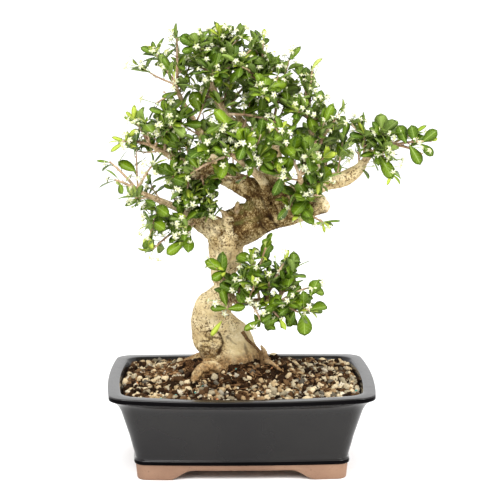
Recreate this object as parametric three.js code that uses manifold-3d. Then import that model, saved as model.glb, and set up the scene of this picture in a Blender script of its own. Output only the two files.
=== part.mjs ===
// A flowering Fukien tea bonsai growing in a glazed bowed-rectangle pot, at its real size.
// Millimetres, +Z up. The pot stands on z = 0 and its middle is x = 0, y = 0 while the pieces are
// made; at the end the whole group is moved so that the middle of its box is over the origin.
import * as THREE from "three";
import { mergeVertices } from "three/addons/utils/BufferGeometryUtils.js";
import Module from "manifold-3d";

const wasm = await Module();
wasm.setup();

const CLEAR = 0.3; // gap between pieces that touch

// Pot: its length runs along X, its width along Y.
const POT_LENGTH = 320;
const POT_WIDTH = 241;
const POT_HEIGHT = 110.6;
const END_BOW = 7; // how far the short sides of the rim bulge
const SIDE_BOW = 13.5; // how far the long sides of the rim bulge
const BOW_AT_FOOT = 0.37; // share of those bulges that is left at the foot
const BOW_START = 25; // height below which the bulges stay the same
const RIM_SAG = 2; // how far the long sides of the rim dip in the middle
const RIM_CORNER = 17;
const FOOT_CORNER = 11;
const RIM_WIDTH = 15;
const ARCH_HEIGHT = 12.5; // height of the openings between the feet
const LONG_ARCH = { footEnd: 90, archStart: 61 };
const SHORT_ARCH = { footEnd: 54, archStart: 30 };
const FOOT_INSET = 31; // how far the foot stands in from the rim's edge
const FOOT_WALL = 15; // thickness of the feet
const RECESS_HEIGHT = 14; // underside of the pot floor
const FLOOR_TOP = 24;
const DRAIN_RADIUS = 11;
const DRAIN_X = 58;
// Outer profile as [height, inset from the rim's edge]: foot, bead, tapering body, cove and rim.
const OUTSIDE = [
  [0, FOOT_INSET + 1.2], [19.6, 30.2], [20.4, 28.8], [25.2, 28.5], [26.6, 30.4], [56, 23.6],
  [88.5, 14.2], [98.5, 9], [104.5, 0.8], [106.5, 0], [POT_HEIGHT, 0.8],
];
// Inner profile from the floor to the rim's inner edge.
const INSIDE = [[FLOOR_TOP, 42.5], [32, 39], [88.5, 23], [POT_HEIGHT + 1, RIM_WIDTH]];

// Soil.
const SOIL_EDGE = 104; // height of the soil at the pot wall
const MOUND = { x: -8, y: 18, height: 31, spreadX: 58, spreadY: 42 };
const GRIT = 5; // height of the grit relief
const SOIL_RINGS = 8;

// Drain screens: squares of plastic mesh over the drain holes.
const SCREEN_SIDE = 44;
const SCREEN_THICK = 0.8;
const SCREEN_HOLE = 12;
const SCREEN_PITCH = 16;

// Foliage.
const LEAF_THICK = 0.8;
const LEAF_LENGTH = 27; // with its stalk
const LEAF_WIDTH = 15;
const LEAF_FOLD = 0.3; // rise of the blade's sides for each millimetre from the midrib
const NODE_LENGTH = 2.4; // length of twig that a leaf's root takes
const NODE_SHARES = [0.28, 0.6, 0.9]; // where the nodes stand along the free part of a twig
const NODE_TURN = 0.7; // turn of a twig's corners from one node to the next
const FLOWER_RADIUS = 5.2;
const FLOWER_STALK = 13;
const FLOWER_NODE = 1; // which of a twig's nodes, from 0, carries its flower
const TWIG_RADIUS = 1.6;
const TWIG_LENGTH = 34; // least distance from a twig's tip to the middle of its bough
// Ways that a leaf may grow, tried in turn: its angle from the twig, and how much it turns upwards.
const LEANS = [[1.25, 0.15], [0.95, 0.25], [1.45, 0], [1.1, -0.3], [0.75, 0.1], [1.3, 0.6]];
const CROWN_MIDDLE = new THREE.Vector3(25, 5, 400);

// Wood. Each route is a list of [x, y, z, radius]; its first point lies inside what it grows from.
const TRUNK = [
  [-15, 30, 68, 30], [-14, 29, 100, 40], [-13, 28, 121, 43], [-16, 28, 134, 39.5],
  [-22, 27, 150, 36], [-29, 25, 165, 33], [-36, 24, 179, 26.5], [-34, 22, 193, 25.5],
  [-27, 20, 204, 19.5], [-21, 18, 217, 14.5], [-20, 17, 226, 13.5], [-21, 16, 235, 15],
  [-21, 15, 248, 18], [-18, 14, 263, 21], [-18, 13, 274, 22], [-19, 12, 286, 23], [-20, 12, 297, 17],
];
const LIMBS = {
  left_stub: [[-24, 12, 292, 18], [-44, 9, 303, 13.5], [-57, 6, 310, 9], [-66, 4, 318, 8.5]],
  right_limb: [
    [-18, 12, 286, 20], [6, 9, 298, 19], [27, 6, 308, 16.5], [49, 4, 313, 14.5], [74, 2, 320, 12.5],
    [94, 0, 325, 11], [107, -2, 328, 9.5],
  ],
  left_ridge: [[14, 8, 298, 13], [20, 8, 318, 14.5], [24, 11, 336, 14], [30, 13, 352, 10]],
  right_ridge: [[54, 6, 311, 11], [51, 9, 325, 12], [50, 12, 340, 12], [44, 14, 354, 10]],
  back_ridge: [[34, 16, 300, 16], [36, 23, 322, 17], [38, 22, 343, 15], [38, 16, 358, 9]],
  upper_left_limb: [
    [34, 12, 340, 15], [14, 10, 346, 14], [-3, 6, 356, 12], [-23, 2, 364, 10.5], [-44, -2, 368, 9.5],
    [-60, -4, 371, 10],
  ],
  stump: [[-18, 3, 360, 10], [-30, 0, 376, 8.5], [-37, 0, 389, 8]],
  upper_right_limb: [
    [44, 14, 330, 15], [64, 14, 337, 14.5], [87, 12, 345, 12], [107, 10, 355, 10.5],
    [131, 8, 361, 9.5], [147, 6, 371, 7.5], [153, 6, 381, 5.5],
  ],
};
const ROOTS = {
  front_left_root: [[-26, 2, 130, 13], [-40, -10, 127, 9], [-51, -20, 118, 6], [-57, -28, 102, 4]],
  front_root: [[-16, -4, 124, 13], [-16, -20, 119, 9], [-14, -32, 112, 7], [-12, -42, 98, 5]],
  arched_root: [
    [-26, -4, 98, 5], [-32, -22, 104, 4.5], [-31, -23, 121, 4.5], [-39, -25, 129, 5],
    [-50, -31, 122, 4.5], [-58, -40, 99, 3.5],
  ],
  right_root: [[8, 20, 128, 14], [30, 15, 122, 9], [46, 10, 115, 6], [60, 6, 98, 4]],
  left_root: [[-36, 32, 126, 14], [-58, 38, 121, 8], [-76, 42, 113, 5.5], [-90, 45, 98, 4]],
  back_root: [[-14, 50, 126, 14], [-6, 72, 119, 8], [2, 86, 100, 5]],
  aerial_root: [[4, 2, 156, 4], [13, -2, 147, 2.6], [20, 2, 134, 2.4], [28, 8, 118, 2.6]],
  root_stub: [[30, 22, 108, 5], [30, 25, 124, 4.5], [31, 27, 137, 4]],
};
// Boughs: thinner wood that carries the foliage.
const BOUGHS = {
  leader: [
    [38, 14, 350, 10], [28, 14, 380, 7.5], [8, 12, 410, 6.4], [-14, 8, 435, 5.6], [-27, 5, 455, 5],
    [-34, 5, 480, 3.8], [-28, 7, 500, 2.6],
  ],
  crown_right: [
    [40, 16, 350, 8], [46, 18, 382, 6.4], [42, 16, 418, 5], [32, 10, 450, 3.8], [24, 8, 482, 2.6],
  ],
  right: [[90, 12, 347, 7], [94, 4, 376, 5.4], [90, -2, 406, 4.2], [84, -2, 436, 3]],
  far_right: [[148, 6, 371, 6], [158, 6, 386, 4.6], [172, 6, 396, 3.6], [192, 8, 402, 2.8]],
  top_left: [
    [-26, 2, 366, 7], [-38, -4, 396, 5.6], [-54, -6, 426, 4.4], [-70, -6, 454, 3.4],
    [-82, -4, 480, 2.4],
  ],
  mid_left: [[-52, -3, 370, 6], [-72, -6, 382, 4.8], [-94, -6, 394, 3.8], [-112, -8, 404, 2.6]],
  low_left: [
    [-62, 4, 314, 6], [-78, 0, 324, 5], [-95, -4, 332, 4.4], [-112, -8, 340, 3.4],
    [-128, -12, 348, 2.4],
  ],
  front: [[36, 2, 344, 7], [24, -26, 364, 5.6], [6, -50, 384, 4.4], [-12, -66, 398, 3]],
  front_right: [[64, 6, 336, 6], [70, -20, 350, 5], [72, -42, 362, 4], [70, -56, 372, 2.8]],
  back: [[38, 24, 346, 8], [36, 50, 362, 6], [24, 72, 378, 4.6], [8, 86, 388, 3]],
  back_right: [[88, 16, 346, 7], [98, 38, 360, 5.4], [106, 54, 372, 4], [108, 66, 382, 2.8]],
  back_left: [[-8, 12, 358, 7], [-30, 32, 366, 5.4], [-52, 46, 374, 4.2], [-70, 56, 380, 2.8]],
  back_top: [[10, 14, 408, 6], [4, 34, 426, 4.8], [-6, 50, 440, 3.6], [-10, 60, 452, 2.6]],
  under_limb: [[62, 2, 316, 6], [72, -10, 320, 3.4], [80, -18, 322, 2.2]],
  low_branch: [
    [-21, 14, 236, 7], [-16, -10, 221, 5.6], [-6, -26, 211, 4.8], [11, -33, 212, 4],
    [30, -38, 214, 3.2], [46, -42, 212, 2.4],
  ],
};
// Where the twig of each spray ends. It starts on the bough that the row names.
const SPRAY_TIPS = {
  leader: [[-23, 8, 532], [-55, -20, 526], [-70, 24, 502], [-35, -48, 494]],
  crown_right: [[19, 18, 524], [-1, -30, 502], [41, -2, 501], [27, -58, 468]],
  right: [[79, 10, 480], [95, -18, 455], [68, -52, 448], [108, 34, 426]],
  far_right: [[139, 14, 427], [172, -14, 420], [217, 14, 415], [225, -8, 392], [186, -8, 368]],
  top_left: [[-104, 0, 515], [-84, -26, 483], [-105, 14, 453]],
  mid_left: [[-131, -12, 435], [-146, -23, 410], [-111, 30, 404], [-84, -48, 431]],
  low_left: [[-156, -16, 362], [-126, 16, 335], [-109, -34, 381], [-113, -20, 292], [-68, -36, 305]],
  front: [[-24, -98, 440], [4, -104, 417], [-45, -86, 406], [-62, -58, 374]],
  front_right: [[40, -86, 432], [79, -74, 397], [98, -44, 362]],
  back: [[-17, 116, 408], [22, 108, 385]],
  back_right: [[87, 96, 405], [134, 72, 388]],
  back_left: [[-97, 84, 393], [-56, 72, 361]],
  back_top: [[-43, 86, 455], [19, 72, 481]],
  under_limb: [[101, -18, 309]],
  low_branch: [[-31, -40, 255], [13, -52, 265], [55, -34, 251], [82, -46, 231], [69, -58, 203]],
};

const glaze = new THREE.MeshStandardMaterial({ color: 0x2b2b2d, roughness: 0.18, metalness: 0 });
const soilBrown = new THREE.MeshStandardMaterial({ color: 0x6f5a45, roughness: 0.9, metalness: 0 });
const bark = new THREE.MeshStandardMaterial({ color: 0xb79b6c, roughness: 0.8, metalness: 0 });
const leafGreen = new THREE.MeshStandardMaterial({ color: 0x3f8020, roughness: 0.4, metalness: 0 });
const meshPlastic = new THREE.MeshStandardMaterial({ color: 0x1c1c1c, roughness: 0.6, metalness: 0 });

/** A repeatable number from 0 to 1 for each whole number, which varies repeats by a fixed rule. */
function vary(index) {
  const value = Math.sin(index * 12.9898 + 4.1) * 43758.5453;
  return value - Math.floor(value);
}

/** A manifold solid from a closed geometry. */
function solidOf(geometry) {
  const bare = geometry.clone();
  bare.deleteAttribute("normal");
  bare.deleteAttribute("uv");
  const merged = mergeVertices(bare, 1e-4);
  return new wasm.Manifold(
    new wasm.Mesh({
      numProp: 3,
      vertProperties: merged.attributes.position.array,
      triVerts: new Uint32Array(merged.index.array),
    }),
  );
}

/** A named mesh from a manifold solid. */
function meshOf(name, solid, material) {
  const made = solid.getMesh();
  const geometry = new THREE.BufferGeometry();
  geometry.setAttribute("position", new THREE.BufferAttribute(made.vertProperties, 3));
  geometry.setIndex(new THREE.BufferAttribute(made.triVerts, 1));
  geometry.computeVertexNormals();
  const mesh = new THREE.Mesh(geometry, material);
  mesh.name = name;
  return mesh;
}

/** The largest separate body of a solid. */
function largestBody(solid) {
  return solid.decompose().reduce((best, next) => (next.volume() > best.volume() ? next : best));
}

/** True where two solids share space. */
function meets(a, b) {
  const p = a.boundingBox();
  const q = b.boundingBox();
  const apart = [0, 1, 2].some((i) => p.min[i] > q.max[i] || q.min[i] > p.max[i]);
  return !apart && a.intersect(b).volume() > 1e-3;
}

/** A skin that pieces are grown on: a list of points and of the triangles between them. */
class Skin {
  constructor() {
    this.points = [];
    this.triangles = [];
  }

  /** Adds points and gives their numbers. */
  add(points) {
    const first = this.points.length;
    this.points.push(...points);
    return points.map((_, i) => first + i);
  }

  /** Adds a triangle, unless two of its corners are one point. */
  face(a, b, c) {
    if (a !== b && b !== c && c !== a) {
      this.triangles.push(a, b, c);
    }
  }

  /** Adds the band between two rings of point numbers that run the same way, of any two counts. */
  stitch(low, high) {
    let i = 0;
    let j = 0;
    while (i < low.length || j < high.length) {
      const a = low[i % low.length];
      const b = high[j % high.length];
      if (i < low.length && (i + 0.5) / low.length <= (j + 0.5) / high.length) {
        this.face(a, low[(i + 1) % low.length], b);
        i++;
      } else {
        this.face(a, high[(j + 1) % high.length], b);
        j++;
      }
    }
  }

  solid() {
    const geometry = new THREE.BufferGeometry().setFromPoints(this.points);
    geometry.setIndex(this.triangles);
    return solidOf(geometry);
  }
}

/** A solid over rings of points that run counter-clockwise seen from the last, closed by fans. */
function loft(rings) {
  const skin = new Skin();
  const numbers = rings.map((ring) => skin.add(ring));
  const count = rings[0].length;
  for (let r = 0; r + 1 < rings.length; r++) {
    const [low, high] = [numbers[r], numbers[r + 1]];
    low.forEach((a, i) => {
      const next = (i + 1) % count;
      skin.face(a, low[next], high[next]);
      skin.face(a, high[next], high[i]);
    });
  }
  const middleOf = (ring) => ring.reduce((sum, p) => sum.add(p), new THREE.Vector3()).divideScalar(count);
  const [first, last] = [numbers[0], numbers[rings.length - 1]];
  const [under, over] = skin.add([middleOf(rings[0]), middleOf(rings[rings.length - 1])]);
  for (let i = 0; i < count; i++) {
    const next = (i + 1) % count;
    skin.face(under, first[next], first[i]);
    skin.face(over, last[i], last[next]);
  }
  return skin.solid();
}

/** The pot's outline at a height: a rounded rectangle whose sides bulge, inset from the rim's edge. */
function potOutline(inset, z) {
  const halfX = POT_LENGTH / 2 - inset;
  const halfY = POT_WIDTH / 2 - inset;
  const corner = THREE.MathUtils.lerp(FOOT_CORNER, RIM_CORNER, z / POT_HEIGHT);
  const quarter = Math.PI / 2;
  const flat = [];
  [[1, 1], [-1, 1], [-1, -1], [1, -1]].forEach(([signX, signY], i) => {
    const arc = new THREE.EllipseCurve(
      signX * (halfX - corner), signY * (halfY - corner), corner, corner, i * quarter, (i + 1) * quarter,
    );
    const turned = new THREE.Vector2(-signY, signX);
    const side = new THREE.LineCurve(
      arc.getPoint(1),
      arc.getPoint(1).addScaledVector(
        i % 2 ? new THREE.Vector2(0, turned.y) : new THREE.Vector2(turned.x, 0),
        2 * ((i % 2 ? halfY : halfX) - corner),
      ),
    );
    flat.push(...arc.getPoints(2), ...side.getPoints(i % 2 ? 3 : 4).slice(1, -1));
  });
  const rising = THREE.MathUtils.clamp((z - BOW_START) / (POT_HEIGHT - BOW_START), 0, 1);
  const share = THREE.MathUtils.lerp(BOW_AT_FOOT, 1, rising);
  return flat.map((p) => {
    const alongX = 1 - (p.x / halfX) ** 2;
    const alongY = 1 - (p.y / halfY) ** 2;
    const x = p.x * (1 + (END_BOW * share * alongY) / halfX);
    const y = p.y * (1 + (SIDE_BOW * share * alongX) / halfY);
    return new THREE.Vector3(x, y, z - RIM_SAG * alongX * (z / POT_HEIGHT) ** 2);
  });
}

/** A long prism whose section is the opening between two feet, with an ogee at each end. */
function footArch({ footEnd, archStart }) {
  const span = footEnd - archStart;
  const [low, high] = [0.2 * ARCH_HEIGHT, 0.95 * ARCH_HEIGHT];
  const shape = new THREE.Shape();
  shape.moveTo(-footEnd, -2);
  shape.lineTo(footEnd, -2);
  shape.lineTo(footEnd, 0);
  shape.bezierCurveTo(footEnd - 0.55 * span, low, archStart + 0.45 * span, high, archStart, ARCH_HEIGHT);
  shape.lineTo(-archStart, ARCH_HEIGHT);
  shape.bezierCurveTo(-archStart - 0.45 * span, high, -footEnd + 0.55 * span, low, -footEnd, 0);
  const length = 1.5 * POT_LENGTH;
  const prism = new THREE.ExtrudeGeometry(shape, { depth: length, bevelEnabled: false, curveSegments: 4 });
  return prism.translate(0, 0, -length / 2).rotateX(Math.PI / 2);
}

/** The fired pot: body, rim, bead, four feet and two drain holes. */
function makePot() {
  const body = loft(OUTSIDE.map(([z, inset]) => potOutline(inset, z)));
  const cuts = [
    loft(INSIDE.map(([z, inset]) => potOutline(inset, z))),
    loft([-2, RECESS_HEIGHT].map((z) => potOutline(FOOT_INSET + FOOT_WALL, z))),
    solidOf(footArch(LONG_ARCH)),
    solidOf(footArch(SHORT_ARCH).rotateZ(Math.PI / 2)),
  ];
  [-DRAIN_X, DRAIN_X].forEach((x) => {
    const hole = new THREE.CylinderGeometry(DRAIN_RADIUS, DRAIN_RADIUS, 2 * FLOOR_TOP, 12);
    cuts.push(solidOf(hole.rotateX(Math.PI / 2).translate(x, 0, FLOOR_TOP)));
  });
  return cuts.reduce((pot, cut) => pot.subtract(cut), body);
}

/** Inset of the soil's side at a height: the pot's inner wall and the gap to it. */
function soilInset(z) {
  const above = INSIDE.findIndex(([height], i) => i > 0 && height >= z);
  const [[lowZ, lowInset], [highZ, highInset]] = [INSIDE[above - 1], INSIDE[above]];
  return THREE.MathUtils.mapLinear(z, lowZ, highZ, lowInset, highInset) + 1.5 * CLEAR;
}

/** The soil: fills the pot, its top mounded and rough with grit, with plain holes for the wood. */
function makeSoil(grownWood) {
  const levels = [FLOOR_TOP + CLEAR, INSIDE[1][0], INSIDE[2][0], SOIL_EDGE - 2];
  const rings = levels.map((z) => potOutline(soilInset(z), z));
  const edge = potOutline(soilInset(SOIL_EDGE), SOIL_EDGE);
  for (let r = 0; r < SOIL_RINGS; r++) {
    const shrink = 1 - 0.012 - r / (SOIL_RINGS + 0.3);
    const ring = edge.map((p, i) => {
      const [shiftX, shiftY, lift] = [7, 13, 31].map((step) => vary(i * step + r * 91) - 0.5);
      const x = (p.x + (r ? GRIT * shiftX : 0)) * shrink;
      const y = (p.y + (r ? GRIT * shiftY : 0)) * shrink;
      const away = ((x - MOUND.x) / MOUND.spreadX) ** 2 + ((y - MOUND.y) / MOUND.spreadY) ** 2;
      const mound = MOUND.height * Math.exp(-away / 2) * (1 - shrink ** 5);
      return new THREE.Vector3(x, y, SOIL_EDGE + mound + (r ? GRIT : 2) * lift);
    });
    rings.push(ring);
  }
  let soil = loft(rings).subtract(grownWood);
  [-DRAIN_X, DRAIN_X].forEach((x) => {
    const side = SCREEN_SIDE + 2 * CLEAR;
    const pocket = new THREE.BoxGeometry(side, side, 2 * (SCREEN_THICK + 2 * CLEAR));
    soil = soil.subtract(solidOf(pocket.translate(x, 0, FLOOR_TOP)));
  });
  return largestBody(soil);
}

/** A square of plastic mesh that lies over a drain hole. */
function makeScreen(x) {
  const plate = new THREE.BoxGeometry(SCREEN_SIDE, SCREEN_SIDE, SCREEN_THICK);
  let screen = solidOf(plate);
  [-0.5, 0.5].forEach((i) =>
    [-0.5, 0.5].forEach((j) => {
      const hole = new THREE.BoxGeometry(SCREEN_HOLE, SCREEN_HOLE, 4 * SCREEN_THICK);
      screen = screen.subtract(solidOf(hole.translate(i * SCREEN_PITCH, j * SCREEN_PITCH, 0)));
    }),
  );
  return screen.translate([x, 0, FLOOR_TOP + CLEAR + SCREEN_THICK / 2]);
}

/** A smooth curve through a route's places. */
function curveOf(route) {
  const points = route.map(([x, y, z]) => new THREE.Vector3(x, y, z));
  return new THREE.CatmullRomCurve3(points, false, "catmullrom", 0.5);
}

/** A tube along a route, with soft lobes round it, as wood has, moved out by grow. */
function woodTube(route, sides, steps, lobe, grow) {
  const path = curveOf(route);
  const girth = curveOf(route.map(([, , , radius]) => [radius, 0, 0]));
  const start = path.getTangent(0);
  const side = Math.abs(start.y) > 0.8 ? new THREE.Vector3(1, 0, 0) : new THREE.Vector3(0, -1, 0);
  const rings = [];
  for (let s = 0; s <= steps; s++) {
    const t = s / steps;
    const ahead = path.getTangent(t);
    const middle = path.getPoint(t).addScaledVector(ahead, s === 0 ? -grow : s === steps ? grow : 0);
    side.addScaledVector(ahead, -side.dot(ahead)).normalize();
    const across = new THREE.Vector3().crossVectors(ahead, side);
    const ring = [];
    for (let i = 0; i < sides; i++) {
      const angle = (i / sides) * 2 * Math.PI;
      const twist = 2.2 * t * route.length;
      const swell = 1 + lobe * (Math.sin(3 * angle + twist) + 0.6 * Math.sin(5 * angle + 1.3));
      const reach = girth.getPoint(t).x * swell + grow;
      const point = middle.clone().addScaledVector(side, reach * Math.cos(angle));
      ring.push(point.addScaledVector(across, reach * Math.sin(angle)));
    }
    rings.push(ring);
  }
  return loft(rings);
}

/** All the wood as one solid, its surface moved out by grow. */
function makeWood(grow) {
  const solids = [woodTube(TRUNK, 12, TRUNK.length, 0.06, grow)];
  Object.values(LIMBS).forEach((route) => solids.push(woodTube(route, 7, route.length, 0.07, grow)));
  Object.values(ROOTS).forEach((route) => solids.push(woodTube(route, 5, route.length - 1, 0.05, grow)));
  Object.values(BOUGHS).forEach((route) => solids.push(woodTube(route, 4, route.length - 1, 0.04, grow)));
  return solids.reduce((whole, next) => whole.add(next));
}

/** The curve of the twig that ends at a tip: it leaves its bough where that comes nearest to it. */
function twigTo(bough, tip) {
  let base;
  for (let place = 0; place <= 1; place += 0.02) {
    const point = bough.getPoint(place);
    const reach = point.distanceTo(tip);
    if (reach >= TWIG_LENGTH && !(base && base.distanceTo(tip) <= reach)) {
      base = point;
    }
  }
  const middle = base.clone().lerp(tip, 0.5);
  middle.z += 0.1 * base.distanceTo(tip);
  return new THREE.QuadraticBezierCurve3(base, middle, tip);
}

/** The three corners of a spray's twig at a place along it, turned round it by an angle. */
function twigCorners(curve, place, angle, grow = 0) {
  const ahead = curve.getTangent(place);
  const side = new THREE.Vector3(0.31, 0.17, 1).cross(ahead).normalize();
  const over = new THREE.Vector3().crossVectors(ahead, side);
  const reach = THREE.MathUtils.lerp(TWIG_RADIUS, 0.6 * TWIG_RADIUS, place) + grow;
  return [0, 1, 2].map((corner) => {
    const turn = angle + (corner / 3) * 2 * Math.PI;
    const point = curve.getPoint(place).addScaledVector(side, reach * Math.cos(turn));
    return point.addScaledVector(over, reach * Math.sin(turn));
  });
}

/** A bare twig from a place along its curve to its tip, as a solid. */
function bareTwig(curve, from, grow) {
  const places = [0, 0.33, 0.67, 1].map((share) => from + share * (1 - from));
  return loft(places.map((place) => twigCorners(curve, place, 0.9, grow)));
}

/** The first place along a twig's curve, counted from its bough, that lies outside the wood. */
function startOf(curve, grownWood) {
  let place = 0;
  while (place < 0.9 && meets(bareTwig(curve, place, 0), grownWood)) {
    place += 0.01;
  }
  return place;
}

/**
 * Grows a toothed leaf on a skin, from a loop of four of its points: a spoon-shaped blade with three
 * teeth at its tip, folded along its midrib. Its upper layer starts on the edge from p to q and its
 * lower layer on p2 to q2, with the loop turned so that these edges run along the blade's width.
 */
function growLeaf(skin, loop, way, scale, grow = 0) {
  const root = new THREE.Vector3();
  loop.forEach((corner) => root.addScaledVector(skin.points[corner], 0.25));
  const outward = root.clone().sub(CROWN_MIDDLE).normalize();
  const normal = new THREE.Vector3(0, 0, 1).addScaledVector(outward, 0.7);
  normal.addScaledVector(way, -normal.dot(way)).normalize();
  const across = new THREE.Vector3().crossVectors(way, normal);
  const turned = (turn) => loop.map((_, i) => loop[(i + turn) % 4]);
  const alignment = (turn) => {
    const [a, b, c, d] = turned(turn).map((corner) => skin.points[corner]);
    return b.clone().sub(a).add(c).sub(d).normalize().dot(across);
  };
  const turn = [0, 1, 2, 3].reduce((best, next) => (alignment(next) > alignment(best) ? next : best));
  const [p, q, q2, p2] = turned(turn);
  const half = [[0.76, 0.5], [0.83, 0.25]];
  const outline = [...half, [1, 0], ...half.map(([s, w]) => [s, -w]).reverse()];
  const layer = (lift) =>
    outline.map(([s, w]) => {
      const rise = LEAF_FOLD * (Math.abs(w) * LEAF_WIDTH - 0.5 * s * s * LEAF_LENGTH) * scale;
      const point = root.clone().addScaledVector(way, s * (LEAF_LENGTH * scale + grow));
      point.addScaledVector(across, w * (LEAF_WIDTH * scale + 2 * grow));
      return point.addScaledVector(normal, lift + rise);
    });
  const upper = skin.add(layer(LEAF_THICK / 2 + grow));
  const lower = skin.add(layer(-LEAF_THICK / 2 - grow));
  const middle = half.length;
  skin.face(p, q, upper[middle]);
  skin.face(q2, p2, lower[middle]);
  for (let i = 0; i < middle; i++) {
    skin.face(q, upper[i], upper[i + 1]);
    skin.face(q2, lower[i + 1], lower[i]);
    skin.face(p, upper[middle + i], upper[middle + i + 1]);
    skin.face(p2, lower[middle + i + 1], lower[middle + i]);
  }
  const [edge, under] = [[q, ...upper, p], [q2, ...lower, p2]];
  for (let i = 0; i + 1 < edge.length; i++) {
    skin.face(edge[i + 1], edge[i], under[i]);
    skin.face(edge[i + 1], under[i], under[i + 1]);
  }
}

/** The room that a leaf takes, from a share of its length to its tip, with the gap round it. */
function leafRoom(corners, way, scale, from) {
  const guard = new Skin();
  const base = corners.map((c) => c.clone().addScaledVector(way, from * LEAF_LENGTH * scale));
  const [a, b, c, d] = guard.add(base);
  growLeaf(guard, [a, b, c, d], way, scale, CLEAR);
  guard.face(b, a, d);
  guard.face(b, d, c);
  return guard.solid();
}

/** Grows a five-petalled star flower on a thin stalk, on a skin's ring of points. */
function growFlower(skin, ring, way) {
  const root = new THREE.Vector3();
  ring.forEach((i) => root.addScaledVector(skin.points[i], 1 / ring.length));
  const side = skin.points[ring[0]].clone().sub(root);
  side.addScaledVector(way, -side.dot(way)).normalize();
  const over = new THREE.Vector3().crossVectors(way, side);
  const circle = (along, radii) =>
    radii.map((radius, i) => {
      const angle = (i / radii.length) * 2 * Math.PI;
      const point = root.clone().addScaledVector(way, along);
      point.addScaledVector(side, radius * Math.cos(angle));
      return point.addScaledVector(over, radius * Math.sin(angle));
    });
  const petalRadii = Array.from({ length: 10 }, (_, i) => FLOWER_RADIUS * (i % 2 ? 0.42 : 1));
  const neck = skin.add(circle(FLOWER_STALK - 1.5, ring.map(() => 0.7)));
  const petals = skin.add(circle(FLOWER_STALK, petalRadii));
  const [crown] = skin.add([root.clone().addScaledVector(way, FLOWER_STALK + 0.9)]);
  skin.stitch(ring, neck);
  skin.stitch(neck, petals);
  petals.forEach((point, i) => skin.face(point, petals[(i + 1) % petals.length], crown));
}

/** The room that a flower takes. */
function flowerRoom(corners, way) {
  const guard = new Skin();
  const [a, b, c, d] = guard.add(corners.map((corner) => corner.clone()));
  growFlower(guard, [a, b, c, d], way);
  guard.face(a, c, b);
  guard.face(a, d, c);
  return guard.solid();
}

/** Grows one spray: a twig whose nodes carry leaves and a flower wherever they stay clear. */
function growSpray(curve, start, seed, obstacles) {
  const skin = new Skin();
  const firstTurn = 0.9 * seed;
  const rings = [{ place: start, turn: firstTurn }];
  NODE_SHARES.forEach((share, node) => {
    const place = start + share * (1 - start);
    const turn = firstTurn + NODE_TURN * (node + 1);
    rings.push({ place, turn, node }, { place: place + NODE_LENGTH / curve.getLength(), turn });
  });
  rings.push({ place: 1, turn: firstTurn + NODE_TURN * (NODE_SHARES.length + 0.6) });
  rings.forEach((ring) => {
    ring.points = skin.add(twigCorners(curve, ring.place, ring.turn));
  });
  const twig = bareTwig(curve, start, 0.1);
  const own = [];
  const leafFits = (root, way, scale, besideTwig) => {
    const corners = root.map((i) => skin.points[i]);
    const whole = leafRoom(corners, way, scale, 0);
    const blade = leafRoom(corners, way, scale, 0.3);
    const blocked = obstacles.some((solid) => meets(whole, solid));
    if (blocked || [...own, ...(besideTwig ? [twig] : [])].some((solid) => meets(blade, solid))) {
      return false;
    }
    own.push(blade);
    return true;
  };
  const growSide = (ring, low, high, i) => {
    const j = (i + 1) % 3;
    const ahead = curve.getTangent(ring.place);
    const outward = skin.points[low[i]].clone().add(skin.points[low[j]]).multiplyScalar(0.5);
    outward.sub(curve.getPoint(ring.place)).normalize();
    if (ring.node === FLOWER_NODE && i === seed % 3) {
      const way = outward.addScaledVector(ahead, 0.5).add(new THREE.Vector3(0, 0, 0.4)).normalize();
      const root = [low[i], low[j], high[j], high[i]];
      const room = flowerRoom(root.map((n) => skin.points[n]), way);
      if (![...obstacles, ...own].some((solid) => meets(room, solid))) {
        growFlower(skin, root, way);
        own.push(room);
        return true;
      }
      return false;
    }
    const scale = 0.86 + 0.28 * vary(seed * 10 + ring.node * 6 + i);
    const root = [high[i], low[i], low[j], high[j]];
    return LEANS.some(([lean, rise]) => {
      const way = ahead.clone().multiplyScalar(Math.cos(lean)).addScaledVector(outward, Math.sin(lean));
      way.z += rise;
      way.normalize();
      if (!leafFits(root, way, scale, true)) {
        return false;
      }
      growLeaf(skin, root, way, scale);
      return true;
    });
  };
  for (let r = 0; r + 1 < rings.length; r++) {
    const [low, high] = [rings[r].points, rings[r + 1].points];
    [0, 1, 2].forEach((i) => {
      if (rings[r].node === undefined || !growSide(rings[r], low, high, i)) {
        skin.face(low[i], low[(i + 1) % 3], high[(i + 1) % 3]);
        skin.face(low[i], high[(i + 1) % 3], high[i]);
      }
    });
  }
  const [b0, b1, b2] = rings[0].points;
  skin.face(b0, b2, b1);
  const [e0, e1, e2] = rings[rings.length - 1].points;
  const tipWay = curve.getTangent(1);
  if (leafFits([e0, e1, e2, e2], tipWay, 0.95, false)) {
    growLeaf(skin, [e0, e1, e2, e2], tipWay, 0.95);
  } else {
    skin.face(e0, e1, e2);
  }
  return skin.solid();
}

/** Every spray as [name, solid], each leaf set clear of the wood and of the other sprays. */
function makeSprays(grownWood) {
  const plans = [];
  Object.entries(SPRAY_TIPS).forEach(([bough, tips]) => {
    const line = curveOf(BOUGHS[bough]);
    tips.forEach((tip, i) => {
      const curve = twigTo(line, new THREE.Vector3(...tip));
      const start = startOf(curve, grownWood);
      const room = bareTwig(curve, start, CLEAR + TWIG_RADIUS);
      plans.push({ name: `${bough}_spray_${i + 1}`, curve, start, room });
    });
  });
  plans.forEach((plan, seed) => {
    const others = plans.filter((other) => other !== plan).map((other) => other.solid ?? other.room);
    plan.solid = growSpray(plan.curve, plan.start, seed, [grownWood, ...others]);
  });
  return plans.map(({ name, solid }) => [name, solid]);
}

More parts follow.
